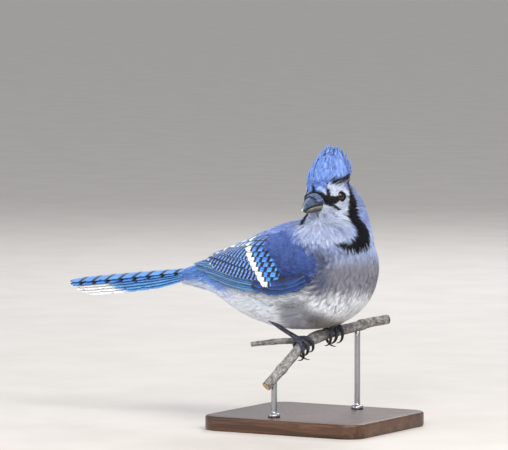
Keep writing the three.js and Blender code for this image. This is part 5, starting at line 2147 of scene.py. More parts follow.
@dataclass
class Bill:
    """The bill's two halves, with the stiff plumes that lie forward over the nostrils."""

    form: BirdForm
    places: tuple[float, ...] = (9, 16, 22, 27, 31, 34, 36.2)
    mouth: tuple[float, ...] = (-2.4, -2.4, -2.7, -3.4, -4.4, -5.2, -5.9)
    culmen: tuple[float, ...] = (2.6, 3.6, 3, 1.6, -0.4, -2.9, -5.5)
    half: tuple[float, ...] = (5.6, 5.1, 4.3, 3.3, 2.3, 1.3, 0.45)
    gonys: tuple[float, ...] = (-8.2, -8.2, -8.3, -8.1, -7.5, -6.7, -5.9)
    lower_tip: float = 34.6
    gap: float = 0.3
    nostril: tuple[float, float] = (20.8, 67.0)
    plumes: int = 330
    dome: float = 0.6

    def __post_init__(self) -> None:
        """Turn the tables into smooth functions."""
        tables = (self.mouth, self.culmen, self.half, self.gonys)
        self.mouth_at, self.culmen_at, self.half_at, self.gonys_at = curves(self.places, *tables)

    def upper_point(self, f: Array, angle: Array, lift: Array = 0.0) -> Array:
        """Return a point of the upper half at an angle from its ridge, in degrees."""
        f, a = np.broadcast_arrays(np.asarray(f, float), np.radians(angle))
        rise = (self.culmen_at(f) - self.mouth_at(f) + lift) * np.maximum(np.cos(a), 0) ** 0.9
        return self.form.head_point(f, (self.half_at(f) + lift) * np.sin(a), self.mouth_at(f) + rise)

    def stations(self, tip: float, count: int) -> Array:
        """Return places along the bill up to its tip, closer together near it."""
        share = np.sin(np.linspace(0, 1, count) * math.pi / 2)
        return self.places[0] + (tip - self.places[0]) * share[:, None]

    def upper(self) -> Shape:
        """Return the upper half, with a rounded ridge and a fine cutting edge."""
        f, s = self.stations(self.places[-1], 44), np.linspace(0.92, -0.92, 13)[None]
        top = self.upper_point(f, np.linspace(-90, 90, 33)[None])
        under = self.form.head_point(
            f + 0 * s, self.half_at(f) * s * 0.94, self.mouth_at(f) + 0.35 * (1 - s**2)
        )
        shape = loft(np.concatenate([top, under], axis=1))
        f, l, u = self.form.in_head(shape.points)
        above = u - self.mouth_at(f)
        # A highlight is painted along the ridge through the layer of worn horn; the pale tip is worn horn
        line = (1 - ease(0.2, 1.1, np.abs(l))) * ease(0.5, 1.5, above)
        return self.painted(shape, np.clip(0.95 * ease(34.6, 36.4, f) + 0.4 * line, 0, 1), above)

    def lower(self) -> Shape:
        """Return the lower half, with a painted highlight along a band under the mouth, painted shade below
        it, and darker towards its tip.
        """
        f, s = self.stations(self.lower_tip, 40), np.linspace(0.9, -0.9, 11)[None]
        a = np.radians(np.linspace(180, 360, 29))[None]
        shrink = np.clip((self.lower_tip + 0.4 - f) / 4.0, 0.05, 1) ** 0.5
        edge = self.mouth_at(f) - self.gap
        drop = (edge - self.gonys_at(f)) * np.sin(a) * shrink
        low = self.form.head_point(f + 0 * a, 0.9 * self.half_at(f) * np.cos(a) * shrink, edge + drop)
        top = self.form.head_point(f + 0 * s, 0.88 * self.half_at(f) * s * shrink, edge - 0.25 * (1 - s**2))
        shape = loft(np.concatenate([low, top], axis=1))
        f, _, u = self.form.in_head(shape.points)
        below = -(u - self.mouth_at(f) + self.gap)
        # The pale band is a painted highlight, and the dark below it is painted shade under the bill
        pale = ease(0.4, 0.9, below) * (1 - ease(1.3, 2.2, below)) * (1 - ease(28, 32, f))
        return self.painted(
            shape, 0.8 * pale - 0.7 * np.maximum(ease(2.0, 3.4, below), ease(28, 33, f)), -below
        )

    def painted(self, shape: Shape, wear_and_painted_light: Array, off_mouth: Array) -> Shape:
        """Store where a half's horn is worn, where highlight and shade are painted on it, and where it is
        dark along the mouth's line.

        Args:
            shape: The half, which is changed.
            wear_and_painted_light: How worn each point is, with a painted highlight where positive and
                painted shade where negative.
            off_mouth: Each point's height off the mouth's line.

        Returns:
            The same shape.
        """
        f, l, _ = self.form.in_head(shape.points)
        shape.values["worn"] = wear_and_painted_light - (1 - ease(0.35, 0.95, np.abs(off_mouth))) * (1 - ease(32, 35, f))
        shape.maps[BAKE_MAP] = np.stack([(l + 8) / 16, (f - 8) / 30], axis=1)
        return shape

    def plume_colour(self, points: Array) -> Array:
        """Return the grey-blue of the plumes, with painted shade over the nostrils, and darker along their
        roots.

        Args:
            points: The points, one in each row.

        Returns:
            Linear colours, one in each row.
        """
        f, l, u = self.form.in_head(points)
        streak = ripple(np.stack([f * 0.2, l, u], axis=1), 1.0, 31)
        low = self.mouth_at(f) + 1.4
        return layered(
            "65769f", len(points), ("9aaad2", ease(0.1, 0.8, streak) * 0.6),
            ("161c2c", ease(0.05, 0.6, -streak) * 0.85),
            ("0d1019", (1 - ease(13.2, 14.6, f)) * 0.95),
            # Painted shade along the plumes' lower edge, over the nostrils
            ("11151f", (1 - ease(low - 0.6, low + 1.0, u)) * 0.8),
        )

    def nasal(self) -> Shape:
        """Make the plumes that lie forward over the bill's base."""
        rng = np.random.default_rng(SEED + 500)
        count = self.plumes
        f = 10.5 + rng.random(count) * 8.0
        angle = rng.uniform(-64, 64, count)
        along = np.linspace(self.places[0], 34.0, 40)[:, None]
        height = 0.15 + self.dome * (1 - ease(17, 25, along))
        surface = Ground(
            in_triangles(loft(self.upper_point(along, np.linspace(-100, 100, 31)[None], height)))
        )
        roots, normals = surface.nearest(self.upper_point(f, angle, 0.1 + self.dome))
        size = rng.uniform(0.8, 1.15, (3, count))
        reach = (27.0 - f) * 0.72 * (1.0 - 0.3 * (np.abs(angle) / 90) ** 2)
        flow = self.form.forward + rng.normal(0, 0.10, (count, 3)) - self.form.up * 0.12
        sizes = (reach * size[0], 1.9 * size[1], 0.45 * size[2] + 0.2)
        tufts = Tufts(roots, normals, flow, *sizes, barbs=9, thick=0.17, bed=0.0, splay=1.1)
        return fans(tufts, surface, self.plume_colour, self.form, 510)

    def nostrils(self) -> Shape:
        """Return the two nostril openings as thin dark linings, which paint the shade inside them."""
        (f, angle), turn = self.nostril, circle(24)
        shapes = []
        for side in SIDES.values():
            rings = [
                self.upper_point(
                    f + 2.0 * grow * np.cos(turn), side * (angle + 10 * grow * np.sin(turn)), lift
                )
                for grow, lift in ((1.0, 0.02), (0.8, 0.10), (0.4, 0.06))
            ]
            shapes.append(loft(np.array(rings)))
        shape = joined(shapes)
        shape.values["worn"] = np.zeros(len(shape.points))
        return shape

    def dress(self) -> None:
        """Make the bill's pieces."""
        slate = HornFinish("bill_slate", "2d3b52", "4a5d7b", "c6ced2", roughness=0.34)
        brown = HornFinish("bill_lower_horn", "4a463c", "6f6a5a", "9c9580", roughness=0.4)
        # A near-black finish for the nostrils: painted shade in the openings
        nostril_shade_finish = HornFinish("nostril_painted_shade", "050507", "0b0b0e", "101014", roughness=0.6)
        down = PlumageFinish("nasal_bristles", roughness=0.5, streak=0.1)
        dressed(self.upper().made("bill_upper_horn", material(slate)), "bill_horn", "bill_upper")
        dressed(self.lower().made("bill_lower_horn", material(brown)), "bill_horn", "bill_lower")
        dressed(self.nostrils().made("nostrils", material(nostril_shade_finish)), "bill_horn", "bill_upper")
        dressed(self.nasal().made("nasal_plumes", material(down)), "face_feathers")


@dataclass
class Eye:
    """One eyeball with its wet front, and the black lids round it."""

    form: BirdForm
    side: float
    opening: float = 3.15
    lid: float = 0.75
    puckers: int = 21

    def __post_init__(self) -> None:
        """Find the eye's middle, and its sideways, upward and outward directions."""
        self.centre, self.out = self.form.eye_centre(self.side), self.form.eye_out(self.side)
        self.up = unit(self.form.up - self.out * (self.form.up @ self.out))
        self.aside = np.cross(self.up, self.out)

    def ball(self) -> Shape:
        """Return the eyeball, whose map runs round its middle and out from it."""
        tilt, turn = np.linspace(0.02, math.pi - 0.02, 40)[:, None], circle(48)[None]
        radius = self.form.eye_radius * (1 + 0.03 * np.exp(-((tilt / 0.5) ** 2)))
        flat = radius * np.sin(tilt)
        spread = [flat * np.cos(turn), flat * np.sin(turn), radius * np.cos(tilt) + 0 * turn]
        shape = loft(
            sum(v[..., None] * way for v, way in zip(spread, (self.aside, self.up, self.out))) + self.centre
        )
        away = shape.points - self.centre
        a, b, front = away @ self.aside, away @ self.up, (away @ self.out) > 0
        reach = np.where(front, np.hypot(a, b) / self.opening, 3.0)
        shape.maps["Iris"] = np.stack([np.abs(np.arctan2(b, a)) / (2 * math.pi), reach], axis=1)
        shape.maps[BAKE_MAP] = np.stack([0.25 + a / 20 + np.where(front, 0.0, 0.5), 0.5 + b / 10], axis=1)
        return shape

    def lids(self) -> Shape:
        """Return the rim of the lids, puckered like skin, closing a little at its front and back corners."""
        turn, around = circle(84), circle(12)
        ring = self.opening + 0.2 * np.cos(2 * turn)
        middle = self.centre + np.outer(np.sqrt(self.form.eye_radius**2 - ring**2) + 0.05, self.out)
        across_eye = np.outer(ring * np.cos(turn), self.aside)
        path = middle + across_eye + np.outer(ring * np.sin(turn) * 0.96, self.up)
        thick = self.lid * (1 + 0.14 * np.sin(self.puckers * turn))[:, None, None]
        rim = unit(path - middle)[:, None] * np.cos(around)[:, None] + self.out * np.sin(around)[:, None]
        index = np.arange(len(turn) * len(around)).reshape(len(turn), len(around))
        loop = np.vstack([index, index[:1]])
        faces = cells(np.hstack([loop, loop[:, :1]]))
        shape = Shape((path[:, None] + thick * rim).reshape(-1, 3), [faces]).outwards()
        shape.values["worn"] = np.zeros(len(shape.points))
        return shape

    def dress(self) -> None:
        """Make the eye's pieces."""
        label = "eye_left" if self.side > 0 else "eye_right"
        skin = HornFinish("lid_skin", "040405", "0b0b0e", "101014", roughness=0.6, coat=0.06)
        dressed(self.ball().made(f"{label}_ball", material(EyeFinish())), "eye", label)
        dressed(self.lids().made(f"{label}_lids", material(skin)), "eye", label)


class NodeRecipe:
    """A Geometry Nodes tree in the making, with named inputs."""

    def __init__(self, name: str, **inputs: str) -> None:
        """Start a tree.

        Args:
            name: The tree's name.
            inputs: The kinds of its named inputs.
        """
        self.tree = bpy.data.node_groups.new(name, "GeometryNodeTree")
        add = self.tree.interface.new_socket
        for way in ("INPUT", "OUTPUT"):
            add("Geometry", in_out=way, socket_type="NodeSocketGeometry")
        self.keys = {
            title: add(title, in_out="INPUT", socket_type=f"NodeSocket{kind}").identifier
            for title, kind in inputs.items()
        }
        self.given = self.tree.nodes.new("NodeGroupInput").outputs

    def node(self, kind: str, sockets: dict, **settings: str) -> bpy.types.NodeOutputs:
        """Add a node.

        Args:
            kind: Its type.
            sockets: Values or other nodes' outputs for its inputs.
            settings: Its own settings.

        Returns:
            Its outputs.
        """
        made = self.tree.nodes.new(kind)
        for title, value in settings.items():
            setattr(made, title, value)
        for key, value in sockets.items():
            if isinstance(value, bpy.types.NodeSocket):
                self.tree.links.new(value, made.inputs[key])
            else:
                made.inputs[key].default_value = value
        return made.outputs

    def times(
        self, first: bpy.types.NodeSocket, second: bpy.types.NodeSocket | float
    ) -> bpy.types.NodeSocket:
        """Return the product of two values."""
        return self.node("ShaderNodeMath", {0: first, 1: second}, operation="MULTIPLY")[0]

    def finish(
        self, points: bpy.types.NodeOutputs, form: bpy.types.NodeOutputs, *size: bpy.types.NodeSocket
    ) -> None:
        """End the tree: set a form on points, realize the instances and give them their material.

        Args:
            points: The outputs of the node that makes the points.
            form: The outputs of the node that makes the form.
            size: The form's size along X, Y and Z.
        """
        scale = self.node("ShaderNodeCombineXYZ", dict(enumerate(size)))[0]
        sockets = {0: points["Points"], "Instance": form[0], "Rotation": points["Rotation"], "Scale": scale}
        real = self.node(
            "GeometryNodeRealizeInstances", {0: self.node("GeometryNodeInstanceOnPoints", sockets)[0]}
        )[0]
        painted = self.node("GeometryNodeSetMaterial", {0: real, "Material": self.given["Material"]})[0]
        self.tree.links.new(painted, self.tree.nodes.new("NodeGroupOutput").inputs[0])

    def grown(self, base: bpy.types.Object, name: str, **values: object) -> bpy.types.Object:
        """Run the tree on an object, and return what grows as a plain mesh.

        Args:
            base: The object that the tree reads, which is removed.
            name: The new piece's name.
            values: The inputs' values.

        Returns:
            The new piece.
        """
        modifier = base.modifiers.new("grow", "NODES")
        modifier.node_group = self.tree
        for title, value in values.items():
            modifier[self.keys[title]] = value
        mesh = plain_mesh(base)
        mesh.name = name
        mesh.shade_smooth()
        return linked(name, mesh)


def scute_recipe() -> NodeRecipe:
    """Return the tree that sets flattened rings of scale along paths, each as wide as its point's reach."""
    recipe = NodeRecipe("scutes", Spacing="Float", Flatness="Float", Wideness="Float", Material="Material")
    given = recipe.given
    curve = recipe.node("GeometryNodeMeshToCurve", {0: given["Geometry"]})[0]
    points = recipe.node("GeometryNodeCurveToPoints", {0: curve, "Length": given["Spacing"]}, mode="LENGTH")
    reach = recipe.node("GeometryNodeInputNamedAttribute", {"Name": "reach"}, data_type="FLOAT")[0]
    wide, thin = recipe.times(reach, given["Wideness"]), recipe.times(reach, given["Flatness"])
    ring = recipe.node("GeometryNodeMeshUVSphere", {"Segments": 14, "Rings": 8, "Radius": 1.0})
    recipe.finish(points, ring, wide, wide, thin)
    return recipe


def wart_recipe() -> NodeRecipe:
    """Return the tree that scatters small flattened warts over a surface."""
    recipe = NodeRecipe(
        "warts", Density="Float", Small="Float", Large="Float", Seed="Int", Material="Material"
    )
    given = recipe.given
    sockets = {0: given["Geometry"], "Density": given["Density"], "Seed": given["Seed"]}
    points = recipe.node("GeometryNodeDistributePointsOnFaces", sockets)
    sockets = {2: given["Small"], 3: given["Large"], "Seed": given["Seed"]}
    chance = recipe.node("FunctionNodeRandomValue", sockets, data_type="FLOAT")[1]
    wart = recipe.node("GeometryNodeMeshIcoSphere", {"Radius": 1.0, "Subdivisions": 2})
    recipe.finish(points, wart, recipe.times(chance, 1.6), chance, recipe.times(chance, 0.45))
    return recipe


def chains(paths: Sequence[tuple[Array, Array]]) -> bpy.types.Object:
    """Make a mesh of plain chains of edges from their points and reaches, which it keeps as a layer.

    Args:
        paths: Each chain's points in the bird's frame, and their reaches in mm.

    Returns:
        The new object.
    """
    starts = np.r_[0, np.cumsum([len(p) for p, _ in paths])]
    edges = [(s + k, s + k + 1) for s, (p, _) in zip(starts, paths) for k in range(len(p) - 1)]
    mesh = bpy.data.meshes.new("paths")
    mesh.from_pydata([tuple(v) for p, _ in paths for v in to_metres(p)], edges, [])
    layer = mesh.attributes.new(name="reach", type="FLOAT", domain="POINT")
    layer.data.foreach_set("value", np.concatenate([r for _, r in paths]).astype(np.float32) * MM)
    return linked("paths", mesh)


@dataclass
class Branch:
    """The perch: a cut length of forked twig."""

    main: tuple[tuple[float, float, float], ...] = (
        (22, 64, 8.8), (16.5, 48, 7.5), (12.3, 32, 5.3), (9, 20, 4.1), (5, 8, 2.6), (-0.9, -4, -0.9),
        (-3.6, -14, -5.6), (-6, -23, -12.4), (-9.5, -33, -21), (-14, -43, -30.5),
    )
    twig: tuple[tuple[float, float, float], ...] = (
        (-1.5, -5, -1.4), (-12, -7, -1.9), (-26, -10, -3), (-43, -13, -5.4)
    )
    main_radius: float = 3.7
    twig_radius: float = 1.9
    knots: tuple[tuple[float, float, float], ...] = ((0.2, 0.02, 0.5), (0.55, 0.05, 0.7), (0.86, 0.02, 0.45))
    voxel: float = 0.55
    relief: float = 0.16
    wart_density: float = 26000.0
    wart_sizes: tuple[float, float] = (0.16, 0.42)

    def radii(self, count: int) -> Array:
        """Return the main branch's radius along it."""
        t = np.linspace(0, 1, count)
        swell = sum(size * np.exp(-(((t - at) / wide) ** 2)) for at, wide, size in self.knots)
        return self.main_radius * (1 - 0.1 * np.abs(t - 0.5) * 2) + swell

    def twig_radii(self, count: int) -> Array:
        """Return the side twig's radius along it."""
        t = np.linspace(0, 1, count)
        return self.twig_radius * (1.25 - 0.35 * t) + 0.3 * np.exp(-(((t - 0.62) / 0.04) ** 2))

    def grip(self, share: float) -> tuple[Array, Array, Array, Array, float]:
        """Return the branch where a foot holds it.

        Args:
            share: How far along the branch the foot is.

        Returns:
            Its middle, its axis, its forward and upward directions, and its radius there.
        """
        steps = 400
        path, k = path_points(self.main, steps + 1), round(share * steps)
        axis = -unit(path[k + 1] - path[k - 1])
        forward = unit(np.array([1.0, 0, 0]) - axis * axis[0])
        return path[k], axis, forward, np.cross(forward, axis), float(self.radii(steps + 1)[k])

    def build(self) -> Shape:
        """Fuse the branch and its twig, and give the bark its relief."""
        main, twig = (path_points(*v) for v in ((self.main, 160), (self.twig, 90)))
        shape = fused([tube(main, self.radii(160), 28), tube(twig, self.twig_radii(90), 20)], self.voxel, 2)
        run = unit(np.array(self.main[-1]) - np.array(self.main[0]))
        squeezed = shape.points - np.outer(shape.points @ run, run) * 0.75
        rough = grain(squeezed, 1.6, 1) * 0.55 + grain(squeezed, 0.7, 2) * 0.45
        ends = [np.array(p) for p in (self.main[0], self.main[-1], self.twig[-1])]
        calm = ease(3.4, 4.6, np.min([np.linalg.norm(shape.points - e, axis=1) for e in ends], axis=0))
        shape.points = shape.points + point_normals(shape) * (
            rough * self.relief * (0.35 + 0.65 * calm)
        )[:, None]
        shape.maps["Grain"] = self.grain_map(shape.points)
        return shape

    def grain_map(self, points: Array) -> Array:
        """Return how far round and along the branch points are, in mm.

        Args:
            points: The points, one in each row.

        Returns:
            Both measures of each point, one point in each row.
        """
        path = path_points(self.main, 60)
        away, share = distance_to_path(points, path)
        twig_away, twig_share = distance_to_path(points, path_points(self.twig, 30))
        on_twig = twig_away < away * 0.62
        k = np.clip((share * 59).astype(int), 0, 58)
        run = unit(path[k + 1] - path[k])
        up = unit(np.array([0, 0, 1.0]) - run * run[:, 2:])
        out = points - path[k]
        turn = np.arctan2(np.sum(out * np.cross(run, up), axis=1), np.sum(out * up, axis=1))
        turn = np.where(on_twig, np.arctan2(points[:, 1] + 9, points[:, 2] + 3), turn)
        return np.stack([np.abs(turn) * 3.6, np.where(on_twig, twig_share * 43, share * 125)], axis=1)

    def cut(self, end: Array, inside: Array, radius: float) -> Shape:
        """Return a thin sawn face on one end of the branch.

        Args:
            end: The end's middle.
            inside: A point of the branch's middle line just inside it.
            radius: The branch's radius there.

        Returns:
            The disc, whose map runs out from the pith.
        """
        out, turn = unit(end - inside), circle(40)
        side = unit(np.cross(out, [0.2, 0.1, 1.0]))
        ring = (np.outer(np.cos(turn), side) + np.outer(np.sin(turn), np.cross(out, side))) * radius
        steps = ((0.15, 0.30), (0.4, 0.32), (0.7, 0.28), (0.9, 0.22), (0.985, 0.1), (0.99, -0.4))
        shape = loft(np.array([end + out * rise + ring * reach for reach, rise in steps]))
        away = shape.points - end
        reach = np.linalg.norm(away - np.outer(away @ out, out), axis=1)
        shape.maps["Rings"] = np.stack([reach, 0 * reach], axis=1)
        return shape

    def dress(self) -> None:
        """Make the perch's pieces."""
        shape, bark = self.build(), material(BarkFinish())
        dressed(shape.made("perch_bark", bark), "bark", "perch")
        main, twig, wide = path_points(self.main, 40), path_points(self.twig, 30), self.radii(2)
        ends = (
            (main[0], main[1], wide[0]), (main[-1], main[-2], wide[1]),
            (twig[-1], twig[-2], self.twig_radii(2)[1]),
        )
        cuts = joined([self.cut(*end) for end in ends])
        dressed(cuts.made("perch_cuts", material(CutFinish())), "bark", "perch")
        base = Shape(shape.points, shape.faces).made("wart_base", bark)
        small, large = (size * MM for size in self.wart_sizes)
        values = {
            "Density": self.wart_density, "Small": small, "Large": large, "Seed": SEED, "Material": bark
        }
        dressed(wart_recipe().grown(base, "perch_warts", **values), "bark", "perch")


@dataclass
class Feet:
    """Both feet: scaled toes and shanks, claws that grip the branch, and the thighs' short feathers."""

    form: BirdForm
    branch: Branch
    # Each foot's share of the way along the branch, and its ankle
    holds: tuple[tuple[str, float, tuple[float, float, float]], ...] = (
        ("right", 0.665, (-31.0, -21.5, 19.0)), ("left", 0.44, (-27.0, 21.0, 20.0)),
    )
    toe_radius: float = 1.25
    shank_radius: float = 1.52
    # Each toe's start and end angles round the branch, and its places along the branch there
    toes: tuple[tuple[str, float, float, float, float], ...] = (
        ("inner", 104, 0, -1.6, -5.6), ("middle", 104, -18, 0, 0), ("outer", 104, 2, 1.6, 5.4),
        ("hind", 112, 196, 0, -2),
    )
    tufts: int = 90
    skin_voxel: float = 0.3
    plump: float = 0.22
    claw_voxel: float = 0.2
    scute_spacing: float = 0.85

    def dress(self) -> None:
        """Make the feet, their scales and their claws."""
        scales, down = material(ScaleFinish()), material(PlumageFinish("thigh_down"))
        horn = material(HornFinish("claw_black", "121113", "26221f", "6a5f57", roughness=0.28))
        for side, share, place in self.holds:
            ankle, nodes = np.array(place), (f"foot_{side}", f"leg_{side}")
            skin = remeshed(cad_copy(*nodes), self.skin_voxel, 4)
            skin.points += point_normals(skin) * self.plump
            dressed(skin.made(f"foot_{side}_skin", scales), "leg_scales", *nodes)
            values = {
                "Spacing": self.scute_spacing * MM, "Flatness": 0.46, "Wideness": 1.0, "Material": scales
            }
            rings = scute_recipe().grown(chains(self.paths(share, ankle)), f"foot_{side}_scutes", **values)
            dressed(rings, "leg_scales")
            dressed(self.thigh(share, ankle).made(f"coat_thigh_{side}", down), "breast_feathers")
            for toe, *_ in self.toes:
                node = f"claw_{side}_{toe}"
                dressed(self.claw(node).made(f"{node}_horn", horn), "claw_horn", node)

    def claw(self, node: str) -> Shape:
        """Return a claw, a little thicker than its node, and worn at its tip.

        Args:
            node: The claw's node.

        Returns:
            The claw's shape.
        """
        claw = remeshed(cad_copy(node), self.claw_voxel, 4)
        low = claw.points[:, 2].min()
        claw.points += point_normals(claw) * (0.18 + 0.16 * ease(0.5, 3.5, claw.points[:, 2] - low))[:, None]
        claw.values["worn"] = (1 - ease(0.0, 2.5, claw.points[:, 2] - low)) * 0.7
        return claw

    def thigh_colour(self, points: Array) -> Array:
        """Return the grey-white of the thighs."""
        return layered("c9cbd2", len(points), ("eceff6", ease(-0.3, 1.0, ripple(points, 3.0, 41)) * 0.7))

    def thigh(self, share: float, ankle: Array) -> Shape:
        """Return the short feathers that hang from the belly round the top of a shank.

        Args:
            share: Where the foot holds the branch.
            ankle: The top of its shank.

        Returns:
            The feathers as one shape.
        """
        rng = np.random.default_rng(SEED + 600)
        count, run = self.tufts, unit(self.branch.grip(share)[0] - ankle)
        turn, aside = rng.uniform(0, 2 * math.pi, count), unit(np.cross(run, self.form.up))
        out = np.outer(np.cos(turn), aside) + np.outer(np.sin(turn), np.cross(run, aside))
        start = rng.uniform(-7.0, -0.5, count)
        roots = ankle + np.outer(start, run) + out * rng.uniform(0.8, 2.6, (count, 1))
        sizes = (rng.uniform(5.0, 7.5, count), rng.uniform(2.0, 3.0, count), np.zeros(count))
        tufts = Tufts(roots, out, run + out * 0.16, *sizes, thick=0.22, bed=0.0, splay=1.2)
        return fans(tufts, None, self.thigh_colour, self.form, 600)

    def paths(self, share: float, ankle: Array) -> list[tuple[Array, Array]]:
        """Return the middle lines of one foot's toes and shank, with their reaches.

        Args:
            share: Where the foot holds the branch.
            ankle: The top of its shank.

        Returns:
            Each path's points and reaches.
        """
        middle, axis, forward, up, radius = self.branch.grip(share)
        t = np.linspace(0, 1, 30)
        out = []
        for _, start, end, first, last in self.toes:
            angle = np.radians(start + (end - start) * t)
            clear = 0.3 + self.toe_radius * (1.15 - 0.3 * t) + 0.15 + 0.5 * np.sin(math.pi * t)
            reach = (radius + clear)[:, None]
            place = middle + forward * reach * np.cos(angle)[:, None] + up * reach * np.sin(angle)[:, None]
            place = place + np.outer(first + (last - first) * t, axis)
            lobes = 1 + 0.1 * np.cos(6 * math.pi * t)
            out.append((place[2:], (self.toe_radius * (1.05 - 0.2 * t) * lobes * 1.03 + 0.2)[2:]))
        joint, reach = math.radians(106), radius + self.toe_radius + 0.3 + 0.75
        foot = middle + forward * reach * math.cos(joint) + up * reach * math.sin(joint)
        bend = (foot + ankle) / 2 + np.array([-0.8, math.copysign(0.6, ankle[1]), -0.6])
        out.append(
            (path_points([foot, bend, ankle], 30), self.shank_radius * (1 + 0.25 * (2 * t - 1) ** 2) * 1.02)
        )
        return out


@dataclass
class Stand:
    """The display stand: an oiled walnut base and two brushed steel rods with collars."""

    corner: float = 14.0
    edge: float = 1.6
    collar: tuple[float, float] = (4.2, 2.6)

    def box(self, node: str) -> tuple[Array, Array]:
        """Return a stand node's lowest and highest corners in millimetres of the model's frame."""
        low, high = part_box(node)
        return np.array(low) / MM, np.array(high) / MM

    def base(self) -> Shape:
        """Return the base: a flat board with rounded corners and softened edges."""
        low, high = self.box("stand_base")
        middle, half = (low + high)[:2] / 2, (high - low)[:2] / 2
        turn = circle(96)
        quarter = np.sign(np.stack([np.cos(turn + 1e-6), np.sin(turn + 1e-6)], axis=1))
        soft = np.linspace(0, math.pi / 2, 7)
        steps = [(-self.edge * (1 - math.sin(a)), low[2] + self.edge * (1 - math.cos(a))) for a in soft]
        steps += [(-self.edge * (1 - math.cos(a)), high[2] - self.edge * (1 - math.sin(a))) for a in soft]
        rings = []
        for inset, z in (*steps, (-12.0, high[2]), (-30.0, high[2])):
            r = max(self.corner + inset, 1.0)
            flat = (half + inset - r) * quarter + r * np.stack([np.cos(turn), np.sin(turn)], axis=1) + middle
            rings.append(np.c_[flat, np.full(len(turn), z)])
        first = rings[0].copy()
        first[:, :2] = middle + (first[:, :2] - middle) * 0.9
        return loft(np.array([first, *rings]) - BIRD_ORIGIN)

    def rod(self, node: str) -> Shape:
        """Return one rod, with its collar on the base and a rounded foot.

        Args:
            node: The rod's node.

        Returns:
            The rod's shape.
        """
        low, high = self.box(node)
        x, y = (low[:2] + high[:2]) / 2
        thin, foot, top = (high[0] - low[0]) / 2, low[2] - 0.3, high[2]
        wide, tall = self.collar
        profile = (
            (wide - 0.3, foot), (wide, foot + 0.3), (wide, foot + tall - 0.5), (wide - 0.5, foot + tall),
            (thin + 0.5, foot + tall), (thin, foot + tall + 0.5), (thin, foot + tall + 2), (thin, top - 4),
            (thin, top - 0.4), (thin - 0.4, top),
        )
        turn = circle(40)
        rings = [
            np.stack([x + r * np.cos(turn), y + r * np.sin(turn), np.full(40, z)], axis=1) for r, z in profile
        ]
        return loft(np.array(rings) - BIRD_ORIGIN)

    def dress(self) -> None:
        """Make the stand's pieces."""
        board = self.base().made("stand_base_board", material(WalnutFinish()))
        dressed(board, "stand_wood", "stand_base")
        for node in ("stand_rod_front", "stand_rod_back"):
            dressed(self.rod(node).made(f"{node}_steel", material(SteelFinish())), "stand_steel", node)


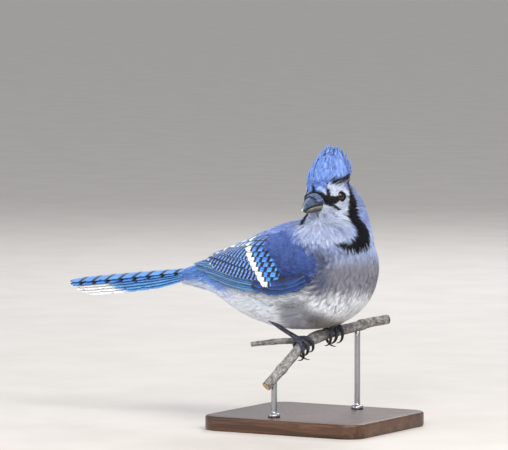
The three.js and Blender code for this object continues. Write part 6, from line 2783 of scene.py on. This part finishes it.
@dataclass
class Studio:
    """The floor, the lights and the camera."""

    azimuth: float = 30.0
    elevation: float = 4.0
    distance: float = 3000.0
    width_in_frame: float = 350.3
    sensor: float = 36.0
    target: tuple[float, float] = (-42.07, 77.9)
    floor_size: float = 70.0
    daylight: float = 0.58
    # Each lamp's name, place and width in metres, power in watts, and colour
    lamps: tuple[tuple[str, tuple[float, float, float], float, float, str], ...] = (
        ("key", (1.1, -0.7, 1.4), 0.9, 20.0, "fff8ee"), ("front", (0.7, -2.3, 1.1), 1.2, 32.0, "fbfbff"),
        ("fill", (-1.3, -1.2, 0.7), 1.4, 9.0, "eef3ff"), ("catch", (1.45, -0.42, 1.0), 0.5, 4.0, "f2f6ff"),
        ("rim", (-0.5, 1.4, 1.2), 0.9, 13.0, "f4f8ff"),
    )
    aim: tuple[float, float, float] = (0.0, 0.0, 0.12)

    def camera(self) -> None:
        """Place the camera at the photograph's viewing angle."""
        az, el = math.radians(self.azimuth), math.radians(self.elevation)
        right = np.array([math.cos(az), math.sin(az), 0.0])
        back = np.array([math.sin(az) * math.cos(el), -math.cos(az) * math.cos(el), math.sin(el)])
        up = np.cross(back, right)
        target = BIRD_ORIGIN + right * self.target[0] + up * self.target[1]
        lens = bpy.data.cameras.new("camera")
        lens.sensor_width = self.sensor
        lens.lens = self.sensor * self.distance / self.width_in_frame
        lens.clip_start, lens.clip_end = 0.1, 30.0
        view = linked("camera", lens)
        turn = Matrix((right, up, back)).transposed().to_4x4()
        view.matrix_world = Matrix.Translation(Vector((target + back * self.distance) * MM)) @ turn
        bpy.context.scene.camera = view

    def light(
        self, name: str, place: tuple[float, float, float], size: float, power: float, colour: str
    ) -> None:
        """Add a soft lamp that faces the bird.

        Args:
            name: The lamp's name.
            place: Where it is, in metres.
            size: Its width in metres.
            power: Its power in watts.
            colour: Its colour's six hexadecimal digits.
        """
        lamp = bpy.data.lights.new(name, "AREA")
        lamp.shape, lamp.size, lamp.energy = "DISK", size, power
        lamp.color = tuple(paint(colour))
        holder = linked(name, lamp)
        holder.location = place
        holder.visible_camera = False
        holder.rotation_euler = (Vector(self.aim) - Vector(place)).to_track_quat("-Z", "Y").to_euler()

    def floor(self) -> None:
        """Lay the paper that the stand is on."""
        size = self.floor_size / 2
        mesh = bpy.data.meshes.new("floor")
        mesh.from_pydata(
            [(-size, -size, 0), (size, -size, 0), (size, size, 0), (-size, size, 0)], [], [(0, 1, 2, 3)]
        )
        sheet = NodeSheet("floor_paper", Specular_IOR_Level=0.2)
        haze = sheet.noise(sheet.places(), 60.0)
        tint = sheet.blend(haze.rise(0.3, 0.7), "d3cdc6", "d8d3cc")
        mesh.materials.append(sheet.finished(tint, 0.75 + (haze - 0.5) * 0.1))
        linked("floor", mesh)

    def build(self) -> None:
        """Set up everything that isn't part of the model."""
        self.camera()
        for lamp in self.lamps:
            self.light(*lamp)
        world = bpy.data.worlds.new("studio")
        world.use_nodes = True
        sky = world.node_tree.nodes["Background"].inputs
        sky["Color"].default_value = (*paint("eef1f6"), 1.0)
        sky["Strength"].default_value = self.daylight
        bpy.context.scene.world = world
        bpy.context.scene.view_settings.view_transform = "Standard"
        self.floor()


def main() -> None:
    """Build and dress every sub-assembly in order."""
    logging.basicConfig(level=logging.INFO, format="%(message)s")
    Studio().build()
    form = BirdForm()
    plumage = Plumage(form)
    ground = Skin(form, plumage).dress()
    Coat(form, plumage, ground).dress()
    for side in SIDES.values():
        Wing(form, side).dress()
    Tail(form).dress()
    Crest(form, ground).dress()
    Bill(form).dress()
    for side in SIDES.values():
        Eye(form, side).dress()
    branch = Branch()
    branch.dress()
    Feet(form, branch).dress()
    Stand().dress()
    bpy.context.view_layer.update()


if __name__ == "__main__":
    main()
